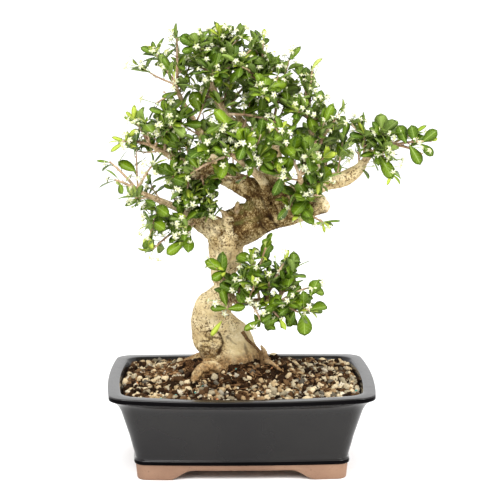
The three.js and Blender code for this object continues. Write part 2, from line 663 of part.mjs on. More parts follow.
const grownWood = makeWood(CLEAR + 0.1);
const group = new THREE.Group();
group.add(meshOf("pot", makePot(), glaze));
group.add(meshOf("soil", makeSoil(grownWood), soilBrown));
group.add(meshOf("trunk", makeWood(0), bark));
group.add(meshOf("drain_screen_left", makeScreen(-DRAIN_X), meshPlastic));
group.add(meshOf("drain_screen_right", makeScreen(DRAIN_X), meshPlastic));
makeSprays(grownWood).forEach(([name, solid]) => group.add(meshOf(name, solid, leafGreen)));

const middle = new THREE.Box3().setFromObject(group).getCenter(new THREE.Vector3());
group.position.set(-middle.x, -middle.y, 0);

export default group;
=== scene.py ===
# %% [markdown]
# # A flowering Fukien tea bonsai in a glazed pot
#
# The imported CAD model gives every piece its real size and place. This script dresses it: each
# faceted solid is replaced by a finer surface of the same form, worked out with numpy from the same
# named sizes, and gets a procedural finish. Lengths are millimetres until a mesh is made.

# %% Load the CAD frame and keep its box
import math
from itertools import product

import bpy
import numpy as np
from mathutils import Matrix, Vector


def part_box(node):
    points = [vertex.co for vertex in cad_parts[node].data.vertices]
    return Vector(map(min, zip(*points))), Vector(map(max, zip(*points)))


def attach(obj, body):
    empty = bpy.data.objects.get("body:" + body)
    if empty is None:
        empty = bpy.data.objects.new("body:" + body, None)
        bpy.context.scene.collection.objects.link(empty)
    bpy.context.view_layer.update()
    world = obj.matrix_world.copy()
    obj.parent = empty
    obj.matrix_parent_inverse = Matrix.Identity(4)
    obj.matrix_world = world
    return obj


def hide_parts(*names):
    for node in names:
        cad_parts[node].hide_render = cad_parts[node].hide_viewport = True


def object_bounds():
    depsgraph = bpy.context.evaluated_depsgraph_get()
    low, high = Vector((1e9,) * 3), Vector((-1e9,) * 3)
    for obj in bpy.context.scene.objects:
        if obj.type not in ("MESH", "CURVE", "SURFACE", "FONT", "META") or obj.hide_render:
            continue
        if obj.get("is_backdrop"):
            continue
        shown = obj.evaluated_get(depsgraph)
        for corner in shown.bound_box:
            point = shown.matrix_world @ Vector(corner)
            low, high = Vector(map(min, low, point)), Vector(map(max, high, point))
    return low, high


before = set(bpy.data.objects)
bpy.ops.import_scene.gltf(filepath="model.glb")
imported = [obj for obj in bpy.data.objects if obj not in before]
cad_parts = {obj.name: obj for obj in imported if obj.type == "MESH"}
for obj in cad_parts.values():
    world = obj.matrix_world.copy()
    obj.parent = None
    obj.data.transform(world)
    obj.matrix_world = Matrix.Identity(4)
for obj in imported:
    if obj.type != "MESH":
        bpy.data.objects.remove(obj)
cad_low, cad_high = (np.array(corner) * 1000 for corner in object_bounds())
pot_low, pot_high = (np.array(corner) * 1000 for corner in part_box("pot"))
POT_MIDDLE = np.array([*(pot_low + pot_high)[:2] / 2, 0])
BOX_LOW, BOX_HIGH = cad_low - POT_MIDDLE, cad_high - POT_MIDDLE
SPRAYS = sorted(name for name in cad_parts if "_spray_" in name)
print("CAD nodes:", len(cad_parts), "of which sprays:", len(SPRAYS))

# %% [markdown]
# ## Helpers that every piece uses
#
# A piece is an array of points and arrays of faces. The signed volume of a closed mesh tells
# whether its faces look outwards, so one test turns them all the right way. Blender takes whole
# arrays through foreach_set, which is far quicker than adding vertices one at a time.


# %% Turn arrays into a piece that rides on the frame
def add_object(name, data):
    """An object linked to the scene."""
    made = bpy.data.objects.new(name, data)
    bpy.context.scene.collection.objects.link(made)
    return made


def with_modifiers(piece):
    """The mesh that a piece's modifiers make of it."""
    bpy.context.view_layer.update()
    graph = bpy.context.evaluated_depsgraph_get()
    return bpy.data.meshes.new_from_object(piece.evaluated_get(graph))


def volume_of(points, faces):
    """Signed volume: the sum over triangles of a . (b x c) / 6, quads being cut in two."""
    total = 0.0
    for group in faces:
        for i in range(1, group.shape[1] - 1):
            a, b, c = points[group[:, 0]], points[group[:, i]], points[group[:, i + 1]]
            total += np.einsum("ij,ij->", a, np.cross(b, c)) / 6
    return total


def make_piece(name, points, faces, slot, nodes, materials, kinds=None, uv=None, **values):
    """Makes a closed mesh, in metres, that stands for CAD nodes; kinds picks each face's material."""
    if volume_of(points, faces) < 0:
        faces = [group[:, ::-1] for group in faces]
    corners = np.concatenate([group.ravel() for group in faces])
    sizes = np.concatenate([np.full(len(group), group.shape[1]) for group in faces])
    mesh = bpy.data.meshes.new(name)
    mesh.vertices.add(len(points))
    mesh.vertices.foreach_set("co", ((points + POT_MIDDLE) / 1000).astype(np.float32).ravel())
    mesh.loops.add(len(corners))
    mesh.loops.foreach_set("vertex_index", corners.astype(np.int32))
    mesh.polygons.add(len(sizes))
    mesh.polygons.foreach_set("loop_start", (np.cumsum(sizes) - sizes).astype(np.int32))
    mesh.polygons.foreach_set("use_smooth", np.ones(len(sizes), bool))
    for material in materials:
        mesh.materials.append(material)
    if kinds is not None:
        mesh.polygons.foreach_set("material_index", kinds.astype(np.int32))
    if uv is not None:
        layer = mesh.uv_layers.new(name="UVMap")
        layer.data.foreach_set("uv", uv[corners].astype(np.float32).ravel())
    for label, value in values.items():
        attribute = mesh.attributes.new(label, "FLOAT", "POINT")
        attribute.data.foreach_set("value", np.asarray(value, np.float32))
    mesh.update(calc_edges=True)
    piece = add_object(name, mesh)
    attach(piece, "root")
    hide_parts(*nodes)
    print(f"{name}: {len(points)} points, {int((sizes - 2).sum())} triangles")
    return piece


# %% Close rings of points into a skin
def skin_faces(ring_count, side_count, first=0):
    """Quads between rings of points numbered row by row, and fans to the two end points after them."""
    ring = np.arange(ring_count - 1)[:, None] * side_count
    here = np.arange(side_count)
    ahead = (here + 1) % side_count
    quads = np.stack(
        [ring + here, ring + ahead, ring + side_count + ahead, ring + side_count + here], axis=-1
    ).reshape(-1, 4)
    last = (ring_count - 1) * side_count
    end = ring_count * side_count
    start_fan = np.stack([np.full(side_count, end), ahead, here], axis=-1)
    end_fan = np.stack([np.full(side_count, end + 1), last + here, last + ahead], axis=-1)
    return [quads + first, np.concatenate([start_fan, end_fan]) + first]


def skin_points(rings):
    """The points of a skin over rings (ring, side, xyz): the rings in order, then both end middles."""
    return np.concatenate([rings.reshape(-1, 3), rings[:1].mean(1), rings[-1:].mean(1)])


def copied(faces, count, corners):
    """The faces of count copies whose points, so many corners each, follow one another."""
    offset = (np.arange(count) * corners)[:, None, None]
    return [(group[None] + offset).reshape(-1, group.shape[1]) for group in faces]


def merged(parts):
    """Joins (points, faces) parts into one; faces are given as [quads, triangles]."""
    offsets = np.cumsum([0] + [len(points) for points, _ in parts])
    points = np.concatenate([points for points, _ in parts])
    groups = [
        np.concatenate([faces[i] + offset for (_, faces), offset in zip(parts, offsets)])
        for i in range(2)
    ]
    return points, groups


# %% [markdown]
# ## Noise
#
# Bark, grit and glaze are uneven at several sizes at once. Value noise gives each corner of a cubic
# lattice a repeatable number and blends the eight corners round a point; fractal noise adds copies
# of it at halved sizes. It is written for whole arrays of points.


# %% Value noise and fractal noise
def lattice_value(cells):
    """A repeatable number from 0 to 1 for each lattice corner: the fraction of a large sine."""
    value = np.sin(cells @ np.array([12.9898, 78.233, 37.719])) * 43758.5453
    return value - np.floor(value)


def noise(points, size):
    """Value noise from -1 to 1: the lattice values blended with weights 3t^2 - 2t^3 on each axis."""
    place = points / size
    cell = np.floor(place)
    t = place - cell
    t = t * t * (3 - 2 * t)
    total = np.zeros(len(points))
    for corner in product((0, 1), repeat=3):
        corner = np.array(corner)
        total += np.prod(np.where(corner, t, 1 - t), axis=1) * lattice_value(cell + corner)
    return 2 * total - 1


def fractal(points, size, octaves=3):
    """A sum of noise at halving sizes and halving heights."""
    return sum(0.5**k * noise(points + 17.3 * k, np.asarray(size) / 2**k) for k in range(octaves))


def smooth_step(low, high, value):
    """0 below low, 1 above high, and 3t^2 - 2t^3 between them."""
    t = np.clip((value - low) / (high - low), 0, 1)
    return t * t * (3 - 2 * t)


def unit(vectors):
    """Vectors divided by their lengths."""
    return vectors / np.linalg.norm(vectors, axis=-1, keepdims=True)


UP = np.array([0.0, 0, 1])
GOLDEN_TURN = math.pi * (3 - 5**0.5)


# %% [markdown]
# ## A way to write finishes
#
# Each finish is a small node tree on Blender's Principled shader. Patterns read Object coordinates,
# in metres, so they keep their real size, or a value stored on the mesh, such as a leaf's tint.


# %% Small builder for node materials
class Finish:
    """A node material: holds the tree and adds textures, ramps, mixes and bumps to it."""

    def __init__(self, name, roughness, **sockets):
        self.material = bpy.data.materials.new(name)
        self.material.use_nodes = True
        self.tree = self.material.node_tree
        self.shader = self.tree.nodes["Principled BSDF"]
        self.shader.inputs["Roughness"].default_value = roughness
        for socket, value in sockets.items():
            self.shader.inputs[socket.replace("_", " ")].default_value = value
        self.object_place = self.tree.nodes.new("ShaderNodeTexCoord").outputs["Object"]

    def node(self, kind, **inputs):
        """A node of a kind, with its inputs linked or set."""
        made = self.tree.nodes.new("ShaderNode" + kind)
        for socket, value in inputs.items():
            self.put(made.inputs[socket.replace("_", " ")], value)
        return made

    def put(self, socket, value):
        """Links a socket to an output, or sets it to a value."""
        if isinstance(value, bpy.types.NodeSocket):
            self.tree.links.new(value, socket)
        else:
            socket.default_value = value

    def speckle(self, scale, detail=3.0, rough=0.55, place=None):
        """Noise from 0 to 1 with so many lumps a metre."""
        made = self.node("TexNoise", Vector=place or self.object_place, Scale=scale, Detail=detail)
        made.inputs["Roughness"].default_value = rough
        return made.outputs["Fac"]

    def stored(self, name):
        """A value stored on the mesh."""
        made = self.tree.nodes.new("ShaderNodeAttribute")
        made.attribute_name = name
        return made.outputs["Fac"]

    def ramp(self, factor, *stops):
        """Colours by a factor, each stop being (place, (red, green, blue))."""
        made = self.node("ValToRGB", Fac=factor)
        ramp = made.color_ramp
        while len(ramp.elements) < len(stops):
            ramp.elements.new(0.5)
        for element, (place, colour) in zip(ramp.elements, stops):
            element.position = place
            element.color = (*colour, 1)
        return made.outputs["Color"]

    def band(self, factor, low, high):
        """0 where a factor is below low, 1 where it is above high."""
        made = self.node("MapRange", Value=factor)
        made.inputs["From Min"].default_value = low
        made.inputs["From Max"].default_value = high
        made.clamp = True
        return made.outputs["Result"]

    def maths(self, operation, a, b=0.0):
        """Arithmetic on two factors."""
        made = self.tree.nodes.new("ShaderNodeMath")
        made.operation = operation
        self.put(made.inputs[0], a)
        self.put(made.inputs[1], b)
        return made.outputs[0]

    def blend(self, factor, under, over, way="MIX"):
        """Two colours mixed by a factor."""
        made = self.tree.nodes.new("ShaderNodeMix")
        made.data_type = "RGBA"
        made.blend_type = way
        self.put(made.inputs[0], factor)
        for socket, colour in ((made.inputs[6], under), (made.inputs[7], over)):
            self.put(socket, (*colour, 1) if isinstance(colour, tuple) else colour)
        return made.outputs[2]

    def times(self, factor, share):
        """A factor multiplied by another or by a number."""
        return self.maths("MULTIPLY", factor, share)

    def rest(self, factor):
        """1 less a factor."""
        return self.maths("SUBTRACT", 1.0, factor)

    def stain(self, under, name, share, over):
        """A colour laid over another by a share of a value stored on the mesh."""
        return self.blend(self.times(self.stored(name), share), under, over)

    def flecked(self, scale, *stops, detail=3.0, rough=0.55):
        """Sets the colour to a ramp over noise, and gives that noise back for a bump."""
        flecks = self.speckle(scale, detail, rough)
        self.colour(self.ramp(flecks, *stops))
        return flecks

    def colour(self, value):
        self.put(self.shader.inputs["Base Color"], value)

    def roughness(self, value):
        self.put(self.shader.inputs["Roughness"], value)

    def bump(self, height, depth, strength=1.0):
        """Relief of a depth in metres from a height factor."""
        made = self.node("Bump", Height=height, Distance=depth, Strength=strength)
        self.put(self.shader.inputs["Normal"], made.outputs["Normal"])


# %% [markdown]
# ## The pot
#
# The pot is pressed and fired clay: a rounded rectangle whose sides bulge, tapering to a bead above
# four feet, with a deep cove under a flat rim. It could be a box with loops cut and moved, but the
# real one comes from one profile carried round one outline, so it is built that way: the same
# formula gives the outline at any height, and the feet are left by lifting the lower edge of the
# wall between them.

# %% Sizes of the pot
POT_LENGTH = 320
POT_WIDTH = 241
POT_HEIGHT = 110.6
END_BOW = 7
SIDE_BOW = 13.5
BOW_AT_FOOT = 0.37
BOW_START = 25
RIM_SAG = 2
RIM_CORNER = 17
FOOT_CORNER = 11
ARCH_HEIGHT = 12.5
FOOT_TOP = 19.6
RECESS_HEIGHT = 14
FLOOR_TOP = 24
DRAIN_RADIUS = 11
DRAIN_X = 58
DRAIN_PLUG = (8, 30)
DRAIN_CORNERS = 48
# Where each arch starts and ends its curve, and how far out its side of the pot lies.
LONG_ARCH, LONG_SIDE_Y = (61, 90), 60
SHORT_ARCH, SHORT_SIDE_X = (30, 54), 98
# (lowest, highest, largest inset) of the stretches with painted shade, the rim's edge and the bead: a
# near-black glaze that hardly reflects stands in for the dark room they mirror.
PAINTED_SHADE_BANDS = [(104, 109.3, 1), (20, 25, 29.3)]
RECESS_INSET = 40
# (height, inset from the rim's edge), from the recess under the pot, out and up to the rim, and in.
POT_PROFILE = [
    (14, 46.5), (13, 46.1), (1.2, 45.9), (0.3, 45.3), (0, 44.4), (0, 33.6), (0.4, 32.6), (1.6, 32),
    (10, 31.1), (19, 30.3), (19.6, 30), (20.1, 29.2), (20.9, 28.6), (22.8, 28.3), (24.6, 28.6),
    (25.5, 29.3), (26.1, 30.2), (27, 30.4), (34, 28.8), (45, 26.1), (56, 23.6), (67, 20.4),
    (78, 17.3), (88.5, 14.2), (93, 12.2), (96.5, 10.2), (99.5, 7.6), (102, 4.6), (103.6, 2),
    (104.4, 0.7), (105.2, 0.15), (106, 0), (109.2, 0), (110.1, 0.3), (110.5, 1), (110.6, 2),
    (110.6, 8), (110.6, 13.3), (110.3, 14.3), (109.4, 15), (100, 18.9), (88.5, 23), (60, 31.1),
    (34, 38.5), (27, 40.6), (24.6, 42.2), (24, 44),
]


# %% Outline of the pot at a height
def outline_stations():
    """Stations round a rounded rectangle: (x share, y share, cosine, sine) of arcs and sides."""
    rows = []
    for corner, (sign_x, sign_y) in enumerate([(1, 1), (-1, 1), (-1, -1), (1, -1)]):
        turn = (corner + np.linspace(0, 1, 13)) * math.pi / 2
        rows.append(np.stack([0 * turn + sign_x, 0 * turn + sign_y, np.cos(turn), np.sin(turn)], 1))
        way = np.linspace(1, -1, 34 if corner % 2 else 46)[1:-1]
        last = np.tile(rows[-1][-1], (len(way), 1))
        last[:, corner % 2] = way * last[0, corner % 2]
        rows.append(last)
    return np.concatenate(rows)


STATIONS = outline_stations()


def pot_rings(heights, insets):
    """The pot's outline at each height: arc centres plus arcs, bulged by 1 - (x / half)^2."""
    heights, insets = (np.asarray(v, float)[:, None] for v in (heights, insets))
    half_x, half_y = POT_LENGTH / 2 - insets, POT_WIDTH / 2 - insets
    corner = FOOT_CORNER + (RIM_CORNER - FOOT_CORNER) * heights / POT_HEIGHT
    share_x, share_y, cosine, sine = STATIONS.T
    flat_x = share_x * (half_x - corner) + corner * cosine
    flat_y = share_y * (half_y - corner) + corner * sine
    rise = np.clip((heights - BOW_START) / (POT_HEIGHT - BOW_START), 0, 1)
    bow = BOW_AT_FOOT + (1 - BOW_AT_FOOT) * rise
    along_x, along_y = 1 - (flat_x / half_x) ** 2, 1 - (flat_y / half_y) ** 2
    x = flat_x * (1 + END_BOW * bow * along_y / half_x)
    y = flat_y * (1 + SIDE_BOW * bow * along_x / half_y)
    z = heights - RIM_SAG * along_x * (heights / POT_HEIGHT) ** 2
    return np.stack([x, y, z], axis=-1)


print("outline stations:", len(STATIONS))

# %% Finishes of the pot
glaze = Finish("dark_glaze", 0.14, Specular_IOR_Level=0.27)
glaze.flecked(9, (0.3, (0.006, 0.005, 0.0055)), (0.7, (0.012, 0.011, 0.010)), detail=4)
glaze.roughness(glaze.band(glaze.speckle(30, 5), -0.6, 5.5))
glaze.bump(glaze.speckle(90, 3), 0.0003, 0.3)

# Painted shade: a near-black copy of the glaze, with almost no reflection, for the upright faces that
# mirror the dark room.
painted_shade_glaze = Finish("painted_shade_glaze", 0.08, Specular_IOR_Level=0.02)
painted_shade_glaze.flecked(12, (0.3, (0.001, 0.0008, 0.001)), (0.7, (0.0025, 0.002, 0.0025)))

clay = Finish("bare_clay", 0.8)
grain = clay.speckle(420, 4, 0.7)
warm = clay.ramp(clay.speckle(14, 3), (0.3, (0.19, 0.10, 0.06)), (0.7, (0.30, 0.175, 0.108)))
clay.colour(clay.blend(clay.band(grain, 0.6, 0.7), warm, (0.14, 0.07, 0.04)))
clay.bump(grain, 0.0004, 0.6)


# %% The pot's skin, its feet and its drain holes
def foot_edge(x, y):
    """Height of the wall's lower edge: 0 on the corner feet, ARCH_HEIGHT between them."""
    long_side = (1 - smooth_step(*LONG_ARCH, np.abs(x))) * (np.abs(y) > LONG_SIDE_Y)
    short_side = (1 - smooth_step(*SHORT_ARCH, np.abs(y))) * (np.abs(x) > SHORT_SIDE_X)
    return ARCH_HEIGHT * np.maximum(long_side, short_side)


def make_pot():
    """The pot's skin, closed under the recess and on the floor, with its three finishes."""
    heights, insets = np.array(POT_PROFILE).T
    rings = pot_rings(heights, insets)
    foot = heights < FOOT_TOP
    edge = foot_edge(rings[foot, :, 0], rings[foot, :, 1])
    top = np.where(insets[foot] > RECESS_INSET, RECESS_HEIGHT, FOOT_TOP)[:, None]
    rings[foot, :, 2] = edge + (top - edge) * rings[foot, :, 2] / top
    recess = rings[0] * [0.5, 0.5, 1]
    floor = rings[-1] * [0.5, 0.5, 1]
    rings = np.concatenate([recess[None], rings, floor[None]])
    quads, fans = skin_faces(len(rings), len(STATIONS))
    band = np.where(heights[1:] <= FOOT_TOP, 1, 0)
    # The rim's edge and the bead get the painted-shade glaze.
    for low, high, inset in PAINTED_SHADE_BANDS:
        band[(heights[1:] > low) & (heights[1:] < high) & (insets[1:] < inset)] = 2
    kinds = np.repeat(np.concatenate([[1], band, [0]]), len(STATIONS))
    kinds = np.concatenate([kinds, np.repeat([1, 0], len(STATIONS))])
    return make_piece(
        "pot_body", skin_points(rings), [quads, fans], "pot_glaze", ["pot"],
        [glaze.material, clay.material, painted_shade_glaze.material], kinds=kinds,
    )


def bore(piece, cutters):
    """Cuts other objects out of a piece with exact booleans, keeps the result and drops them."""
    for cutter in cutters:
        cut = piece.modifiers.new("bore", "BOOLEAN")
        cut.operation = "DIFFERENCE"
        cut.solver = "EXACT"
        cut.object = cutter
    result = with_modifiers(piece)
    piece.modifiers.clear()
    piece.data = result
    for cutter in cutters:
        bpy.data.objects.remove(cutter)


def drain_cutter(x):
    """A round plug through the pot's floor."""
    turn = np.linspace(0, 2 * math.pi, DRAIN_CORNERS + 1)[:-1]
    ring = np.stack([x + DRAIN_RADIUS * np.cos(turn), DRAIN_RADIUS * np.sin(turn), 0 * turn], axis=-1)
    rings = np.stack([ring + [0, 0, height] for height in DRAIN_PLUG])
    points = (skin_points(rings) + POT_MIDDLE) / 1000
    faces = [face for group in skin_faces(2, DRAIN_CORNERS) for face in group.tolist()]
    mesh = bpy.data.meshes.new("drain_plug")
    mesh.from_pydata(points.tolist(), [], faces)
    mesh.materials.append(clay.material)
    return add_object("drain_plug", mesh)


pot_body = make_pot()
bore(pot_body, [drain_cutter(-DRAIN_X), drain_cutter(DRAIN_X)])

# %% [markdown]
# ## The drain screens
#
# A square of black plastic mesh lies over each drain hole and keeps the grit in. The CAD solid is
# already right in shape, so it stays and only gets a finish.

# %% Finish of the drain screens
screen_plastic = Finish("screen_plastic", 0.55)
screen_plastic.flecked(160, (0.3, (0.01, 0.01, 0.011)), (0.7, (0.025, 0.025, 0.025)))
for name in ("drain_screen_left", "drain_screen_right"):
    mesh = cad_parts[name].data
    mesh.materials.clear()
    mesh.materials.append(screen_plastic.material)

# %% [markdown]
# ## The form of the soil bed
#
# The bed ends a little below the rim and rises to a soft mound round the trunk. Roots, stones and
# hair roots all need its height, so its form comes before the wood.

# %% Form of the soil bed
SOIL_EDGE = 104
MOUND = {"x": -8, "y": 18, "height": 31, "spread_x": 58, "spread_y": 42}
SOIL_GAP = 0.6
INNER_HEIGHTS, INNER_INSETS = [24, 32, 88.5, 111.6], [42.5, 39, 23, 15]


def soil_inset(z):
    """Inset of the soil's side: the pot's inner wall and a narrow gap."""
    return np.interp(z, INNER_HEIGHTS, INNER_INSETS) + SOIL_GAP


def soil_height(x, y, edge_share):
    """SOIL_EDGE plus a bell-shaped mound that dies out at the wall."""
    away = ((x - MOUND["x"]) / MOUND["spread_x"]) ** 2 + ((y - MOUND["y"]) / MOUND["spread_y"]) ** 2
    return SOIL_EDGE + MOUND["height"] * np.exp(-away / 2) * (1 - edge_share**5)


# %% [markdown]
# ## The wood
#
# The trunk, its roots, limbs and boughs grew as one body. Each is a route of places and radii with
# soft lobes. The tubes are laid through each other and melted into one skin by a voxel remesh, which
# also fills the crotches the way growing wood does. Numpy then moves that skin in and out along its
# normals: folds that run with the grain, lumps and fine scale.

# %% Routes of the wood, as (x, y, z, radius)
TRUNK = [
    (-15, 30, 68, 30), (-14, 29, 100, 40), (-13, 28, 121, 43), (-16, 28, 134, 39.5),
    (-23, 27, 150, 35), (-30.5, 25, 165, 31.5), (-36.5, 24, 179, 26), (-34, 22, 193, 25.5),
    (-27, 20, 204, 19.5), (-21, 18, 217, 14.5), (-20, 17, 226, 13.5), (-21, 16, 235, 15),
    (-21, 15, 248, 18), (-18, 14, 263, 21), (-18, 13, 274, 22), (-19, 12, 286, 23), (-20, 12, 297, 17),
]
LIMBS = {
    "left_stub": [(-24, 12, 292, 18), (-44, 9, 303, 13.5), (-57, 6, 310, 9), (-66, 4, 318, 8.5)],
    "right_limb": [
        (-18, 12, 286, 20), (6, 9, 298, 19), (27, 6, 308, 16.5), (49, 4, 313, 14.5),
        (74, 2, 320, 12.5), (94, 0, 325, 11), (107, -2, 328, 9.5),
    ],
    "left_ridge": [(14, 8, 298, 13), (20, 8, 318, 14.5), (24, 11, 336, 14), (30, 13, 352, 10)],
    "right_ridge": [(54, 6, 311, 11), (51, 9, 325, 12), (50, 12, 340, 12), (44, 14, 354, 10)],
    "back_ridge": [(34, 16, 300, 16), (36, 23, 322, 17), (38, 22, 343, 15), (38, 16, 358, 9)],
    "upper_left_limb": [
        (34, 12, 340, 15), (14, 10, 346, 14), (-3, 6, 356, 12), (-23, 2, 364, 10.5),
        (-44, -2, 368, 9.5), (-60, -4, 371, 10),
    ],
    "stump": [(-18, 3, 360, 10), (-30, 0, 376, 8.5), (-37, 0, 389, 8)],
    "upper_right_limb": [
        (44, 14, 330, 15), (64, 14, 337, 14.5), (87, 12, 345, 12), (107, 10, 355, 10.5),
        (131, 8, 361, 9.5), (147, 6, 371, 7.5), (153, 6, 381, 5.5),
    ],
}
ROOTS = {
    "front_left_root": [(-26, 2, 130, 13), (-40, -10, 127, 9), (-51, -20, 118, 6), (-57, -28, 102, 4)],
    "front_root": [(-16, -4, 121, 12), (-16, -18, 113, 8), (-14, -30, 104, 6), (-12, -40, 94, 5)],
    "arched_root": [
        (-18, -14, 104, 6.5), (-21, -20, 114, 7), (-27, -22, 123, 7), (-37, -25, 128, 7),
        (-48, -28, 127, 6.5), (-56, -33, 118, 6), (-61, -39, 102, 4.5),
    ],
    "right_root": [(8, 20, 128, 14), (30, 15, 122, 9), (46, 10, 115, 6), (60, 6, 98, 4)],
    "left_root": [(-36, 32, 126, 14), (-58, 38, 121, 8), (-76, 42, 113, 5.5), (-90, 45, 98, 4)],
    "back_root": [(-14, 50, 126, 14), (-6, 72, 119, 8), (2, 86, 100, 5)],
    "aerial_root": [
        (2, -4, 168, 3), (9, -9, 158, 2.4), (18, -10, 150, 2.2), (25, -9, 140, 2.4), (28, -6, 122, 2.6),
    ],
    "root_lump": [(25, -3, 150, 1.6), (29, -3, 144, 3), (32, -3, 137, 2.8), (37, -1, 122, 2.6)],
    "surface_root": [(30, -2, 130, 3.6), (40, -6, 126, 3), (50, -9, 119, 2.2), (57, -10, 112, 1.8)],
    "root_stub": [(30, 22, 108, 5), (30, 25, 124, 4.5), (31, 27, 137, 4)],
}
BOUGHS = {
    "leader": [
        (38, 14, 350, 10), (28, 14, 380, 7.5), (8, 12, 410, 6.4), (-14, 8, 435, 5.6),
        (-27, 5, 455, 5), (-34, 5, 480, 3.8), (-28, 7, 500, 2.6),
    ],
    "crown_right": [
        (40, 16, 350, 8), (46, 18, 382, 6.4), (42, 16, 418, 5), (32, 10, 450, 3.8), (24, 8, 482, 2.6),
    ],
    "right": [(90, 12, 347, 7), (94, 4, 376, 5.4), (90, -2, 406, 4.2), (84, -2, 436, 3)],
    "far_right": [(148, 6, 371, 6), (158, 6, 386, 4.6), (172, 6, 396, 3.6), (192, 8, 402, 2.8)],
    "top_left": [
        (-26, 2, 366, 7), (-38, -4, 396, 5.6), (-54, -6, 426, 4.4), (-70, -6, 454, 3.4),
        (-82, -4, 480, 2.4),
    ],
    "mid_left": [(-52, -3, 370, 6), (-72, -6, 382, 4.8), (-94, -6, 394, 3.8), (-112, -8, 404, 2.6)],
    "low_left": [
        (-62, 4, 314, 6), (-78, 0, 324, 5), (-95, -4, 332, 4.4), (-112, -8, 340, 3.4),
        (-128, -12, 348, 2.4),
    ],
    "front": [(36, 2, 344, 7), (24, -26, 364, 5.6), (6, -50, 384, 4.4), (-12, -66, 398, 3)],
    "front_right": [(64, 6, 336, 6), (70, -20, 350, 5), (72, -42, 362, 4), (70, -56, 372, 2.8)],
    "back": [(38, 24, 346, 8), (36, 50, 362, 6), (24, 72, 378, 4.6), (8, 86, 388, 3)],
    "back_right": [(88, 16, 346, 7), (98, 38, 360, 5.4), (106, 54, 372, 4), (108, 66, 382, 2.8)],
    "back_left": [(-8, 12, 358, 7), (-30, 32, 366, 5.4), (-52, 46, 374, 4.2), (-70, 56, 380, 2.8)],
    "back_top": [(10, 14, 408, 6), (4, 34, 426, 4.8), (-6, 50, 440, 3.6), (-10, 60, 452, 2.6)],
    "under_limb": [(62, 2, 316, 6), (72, -10, 320, 3.4), (80, -18, 322, 2.2)],
    "low_branch": [
        (-21, 14, 236, 7), (-16, -10, 221, 5.6), (-6, -26, 211, 4.8), (11, -33, 212, 4),
        (30, -38, 214, 3.2), (46, -42, 212, 2.4),
    ],
}
# Old scars and swellings, and the earthy root mass under the arched root.
KNOTS = {
    "under_arch": [(-24, -8, 104, 12), (-36, -20, 110, 11), (-45, -26, 109, 9.5), (-52, -32, 102, 7)],
    "stub_knob": [(-54, 4, 311, 10), (-62, 1, 321, 10.5), (-68, -1, 326, 7)],
    "stub_scar": [(-60, 0, 312, 8), (-68, -5, 306, 6.5), (-72, -7, 303, 5)],
    "shoulder": [(-20, 8, 308, 10), (-9, 6, 313, 11), (4, 6, 317, 12), (16, 8, 322, 10)],
    "fork_snag": [(-2, 0, 310, 5), (-5, -3, 324, 3.4), (-3, -5, 333, 2)],
    "fork_snag_low": [(-16, 2, 308, 5), (-20, -2, 318, 3), (-26, -3, 322, 1.8)],
    "torn_end": [(-52, -4, 370, 9), (-64, -6, 376, 6), (-71, -7, 383, 3)],
    "torn_splinter": [(-54, -6, 368, 7), (-65, -9, 366, 4.5), (-74, -10, 362, 2.4)],
    "right_lump": [(88, -2, 322, 10), (102, -3, 330, 11), (108, -3, 334, 8)],
}
# Routes of one kind, the corners round each tube, and how far its lobes swell.
WOOD_KINDS = [
    ([TRUNK], 40, 0.06), (LIMBS.values(), 28, 0.07), (ROOTS.values(), 16, 0.05),
    (BOUGHS.values(), 14, 0.04), (KNOTS.values(), 14, 0.09),
]
SAWN_ENDS = ("left_stub", "right_limb", "stump")
WOOD_VOXEL = 1.4


# %% Smooth routes and round tubes
def route_at(route, t):
    """A route at shares t: a cubic through its rows whose slope at each is half the step across it."""
    rows = np.array(route, float)
    rows = np.concatenate([2 * rows[:1] - rows[1:2], rows, 2 * rows[-1:] - rows[-2:-1]])
    place = np.clip(t, 0, 1) * (len(route) - 1)
    i = np.minimum(place.astype(int), len(route) - 2)
    s = (place - i)[:, None]
    before, start, end, after = (rows[i + k] for k in range(4))
    slope_start, slope_end = (end - before) / 2, (after - start) / 2
    rise = end - start
    return (
        start + slope_start * s + (3 * rise - 2 * slope_start - slope_end) * s**2
        + (slope_start + slope_end - 2 * rise) * s**3
    )


def length_of(route):
    """Length of a route, measured straight from place to place."""
    return np.linalg.norm(np.diff(np.array(route)[:, :3], axis=0), axis=1).sum()


def carried_frames(middles, first_side):
    """Two directions across a line at each of its points, carried along it without twist."""
    ahead = unit(np.gradient(middles, axis=0))
    side = np.array(first_side, float)
    sides = []
    for way in ahead:
        side = side - side @ way * way
        side = side / np.linalg.norm(side)
        sides.append(side)
    sides = np.array(sides)
    return sides, np.cross(ahead, sides)


def wood_tube(route, sides, lobe):
    """A tube: middle + radius * (1 + lobe * sines of the angle) * (side cos + across sin)."""
    t = np.linspace(0, 1, max(8, int(length_of(route) / 4)))
    rows = route_at(route, t)
    start = rows[1, :3] - rows[0, :3]
    upright = abs(start[1]) < 0.8 * np.linalg.norm(start)
    side, across = carried_frames(rows[:, :3], (0, -1, 0) if upright else (1, 0, 0))
    angle = np.linspace(0, 2 * math.pi, sides + 1)[:-1]
    twist = 2.2 * t[:, None] * len(route)
    swell = 1 + lobe * (np.sin(3 * angle + twist) + 0.6 * np.sin(5 * angle + 1.3))
    reach = (rows[:, 3:] * swell)[..., None]
    round_it = np.cos(angle)[:, None] * side[:, None] + np.sin(angle)[:, None] * across[:, None]
    rings = rows[:, None, :3] + reach * round_it
    return skin_points(rings), skin_faces(len(rings), sides)


def across_frames(ahead):
    """Two directions across each of many directions."""
    side = unit(np.cross(np.array([0.31, 0.17, 1.0]), ahead))
    return side, np.cross(ahead, side)


def at_angle(turn, side, over):
    """side * cos(turn) + over * sin(turn), with a turn for each pair of directions."""
    return np.cos(turn)[:, None] * side + np.sin(turn)[:, None] * over


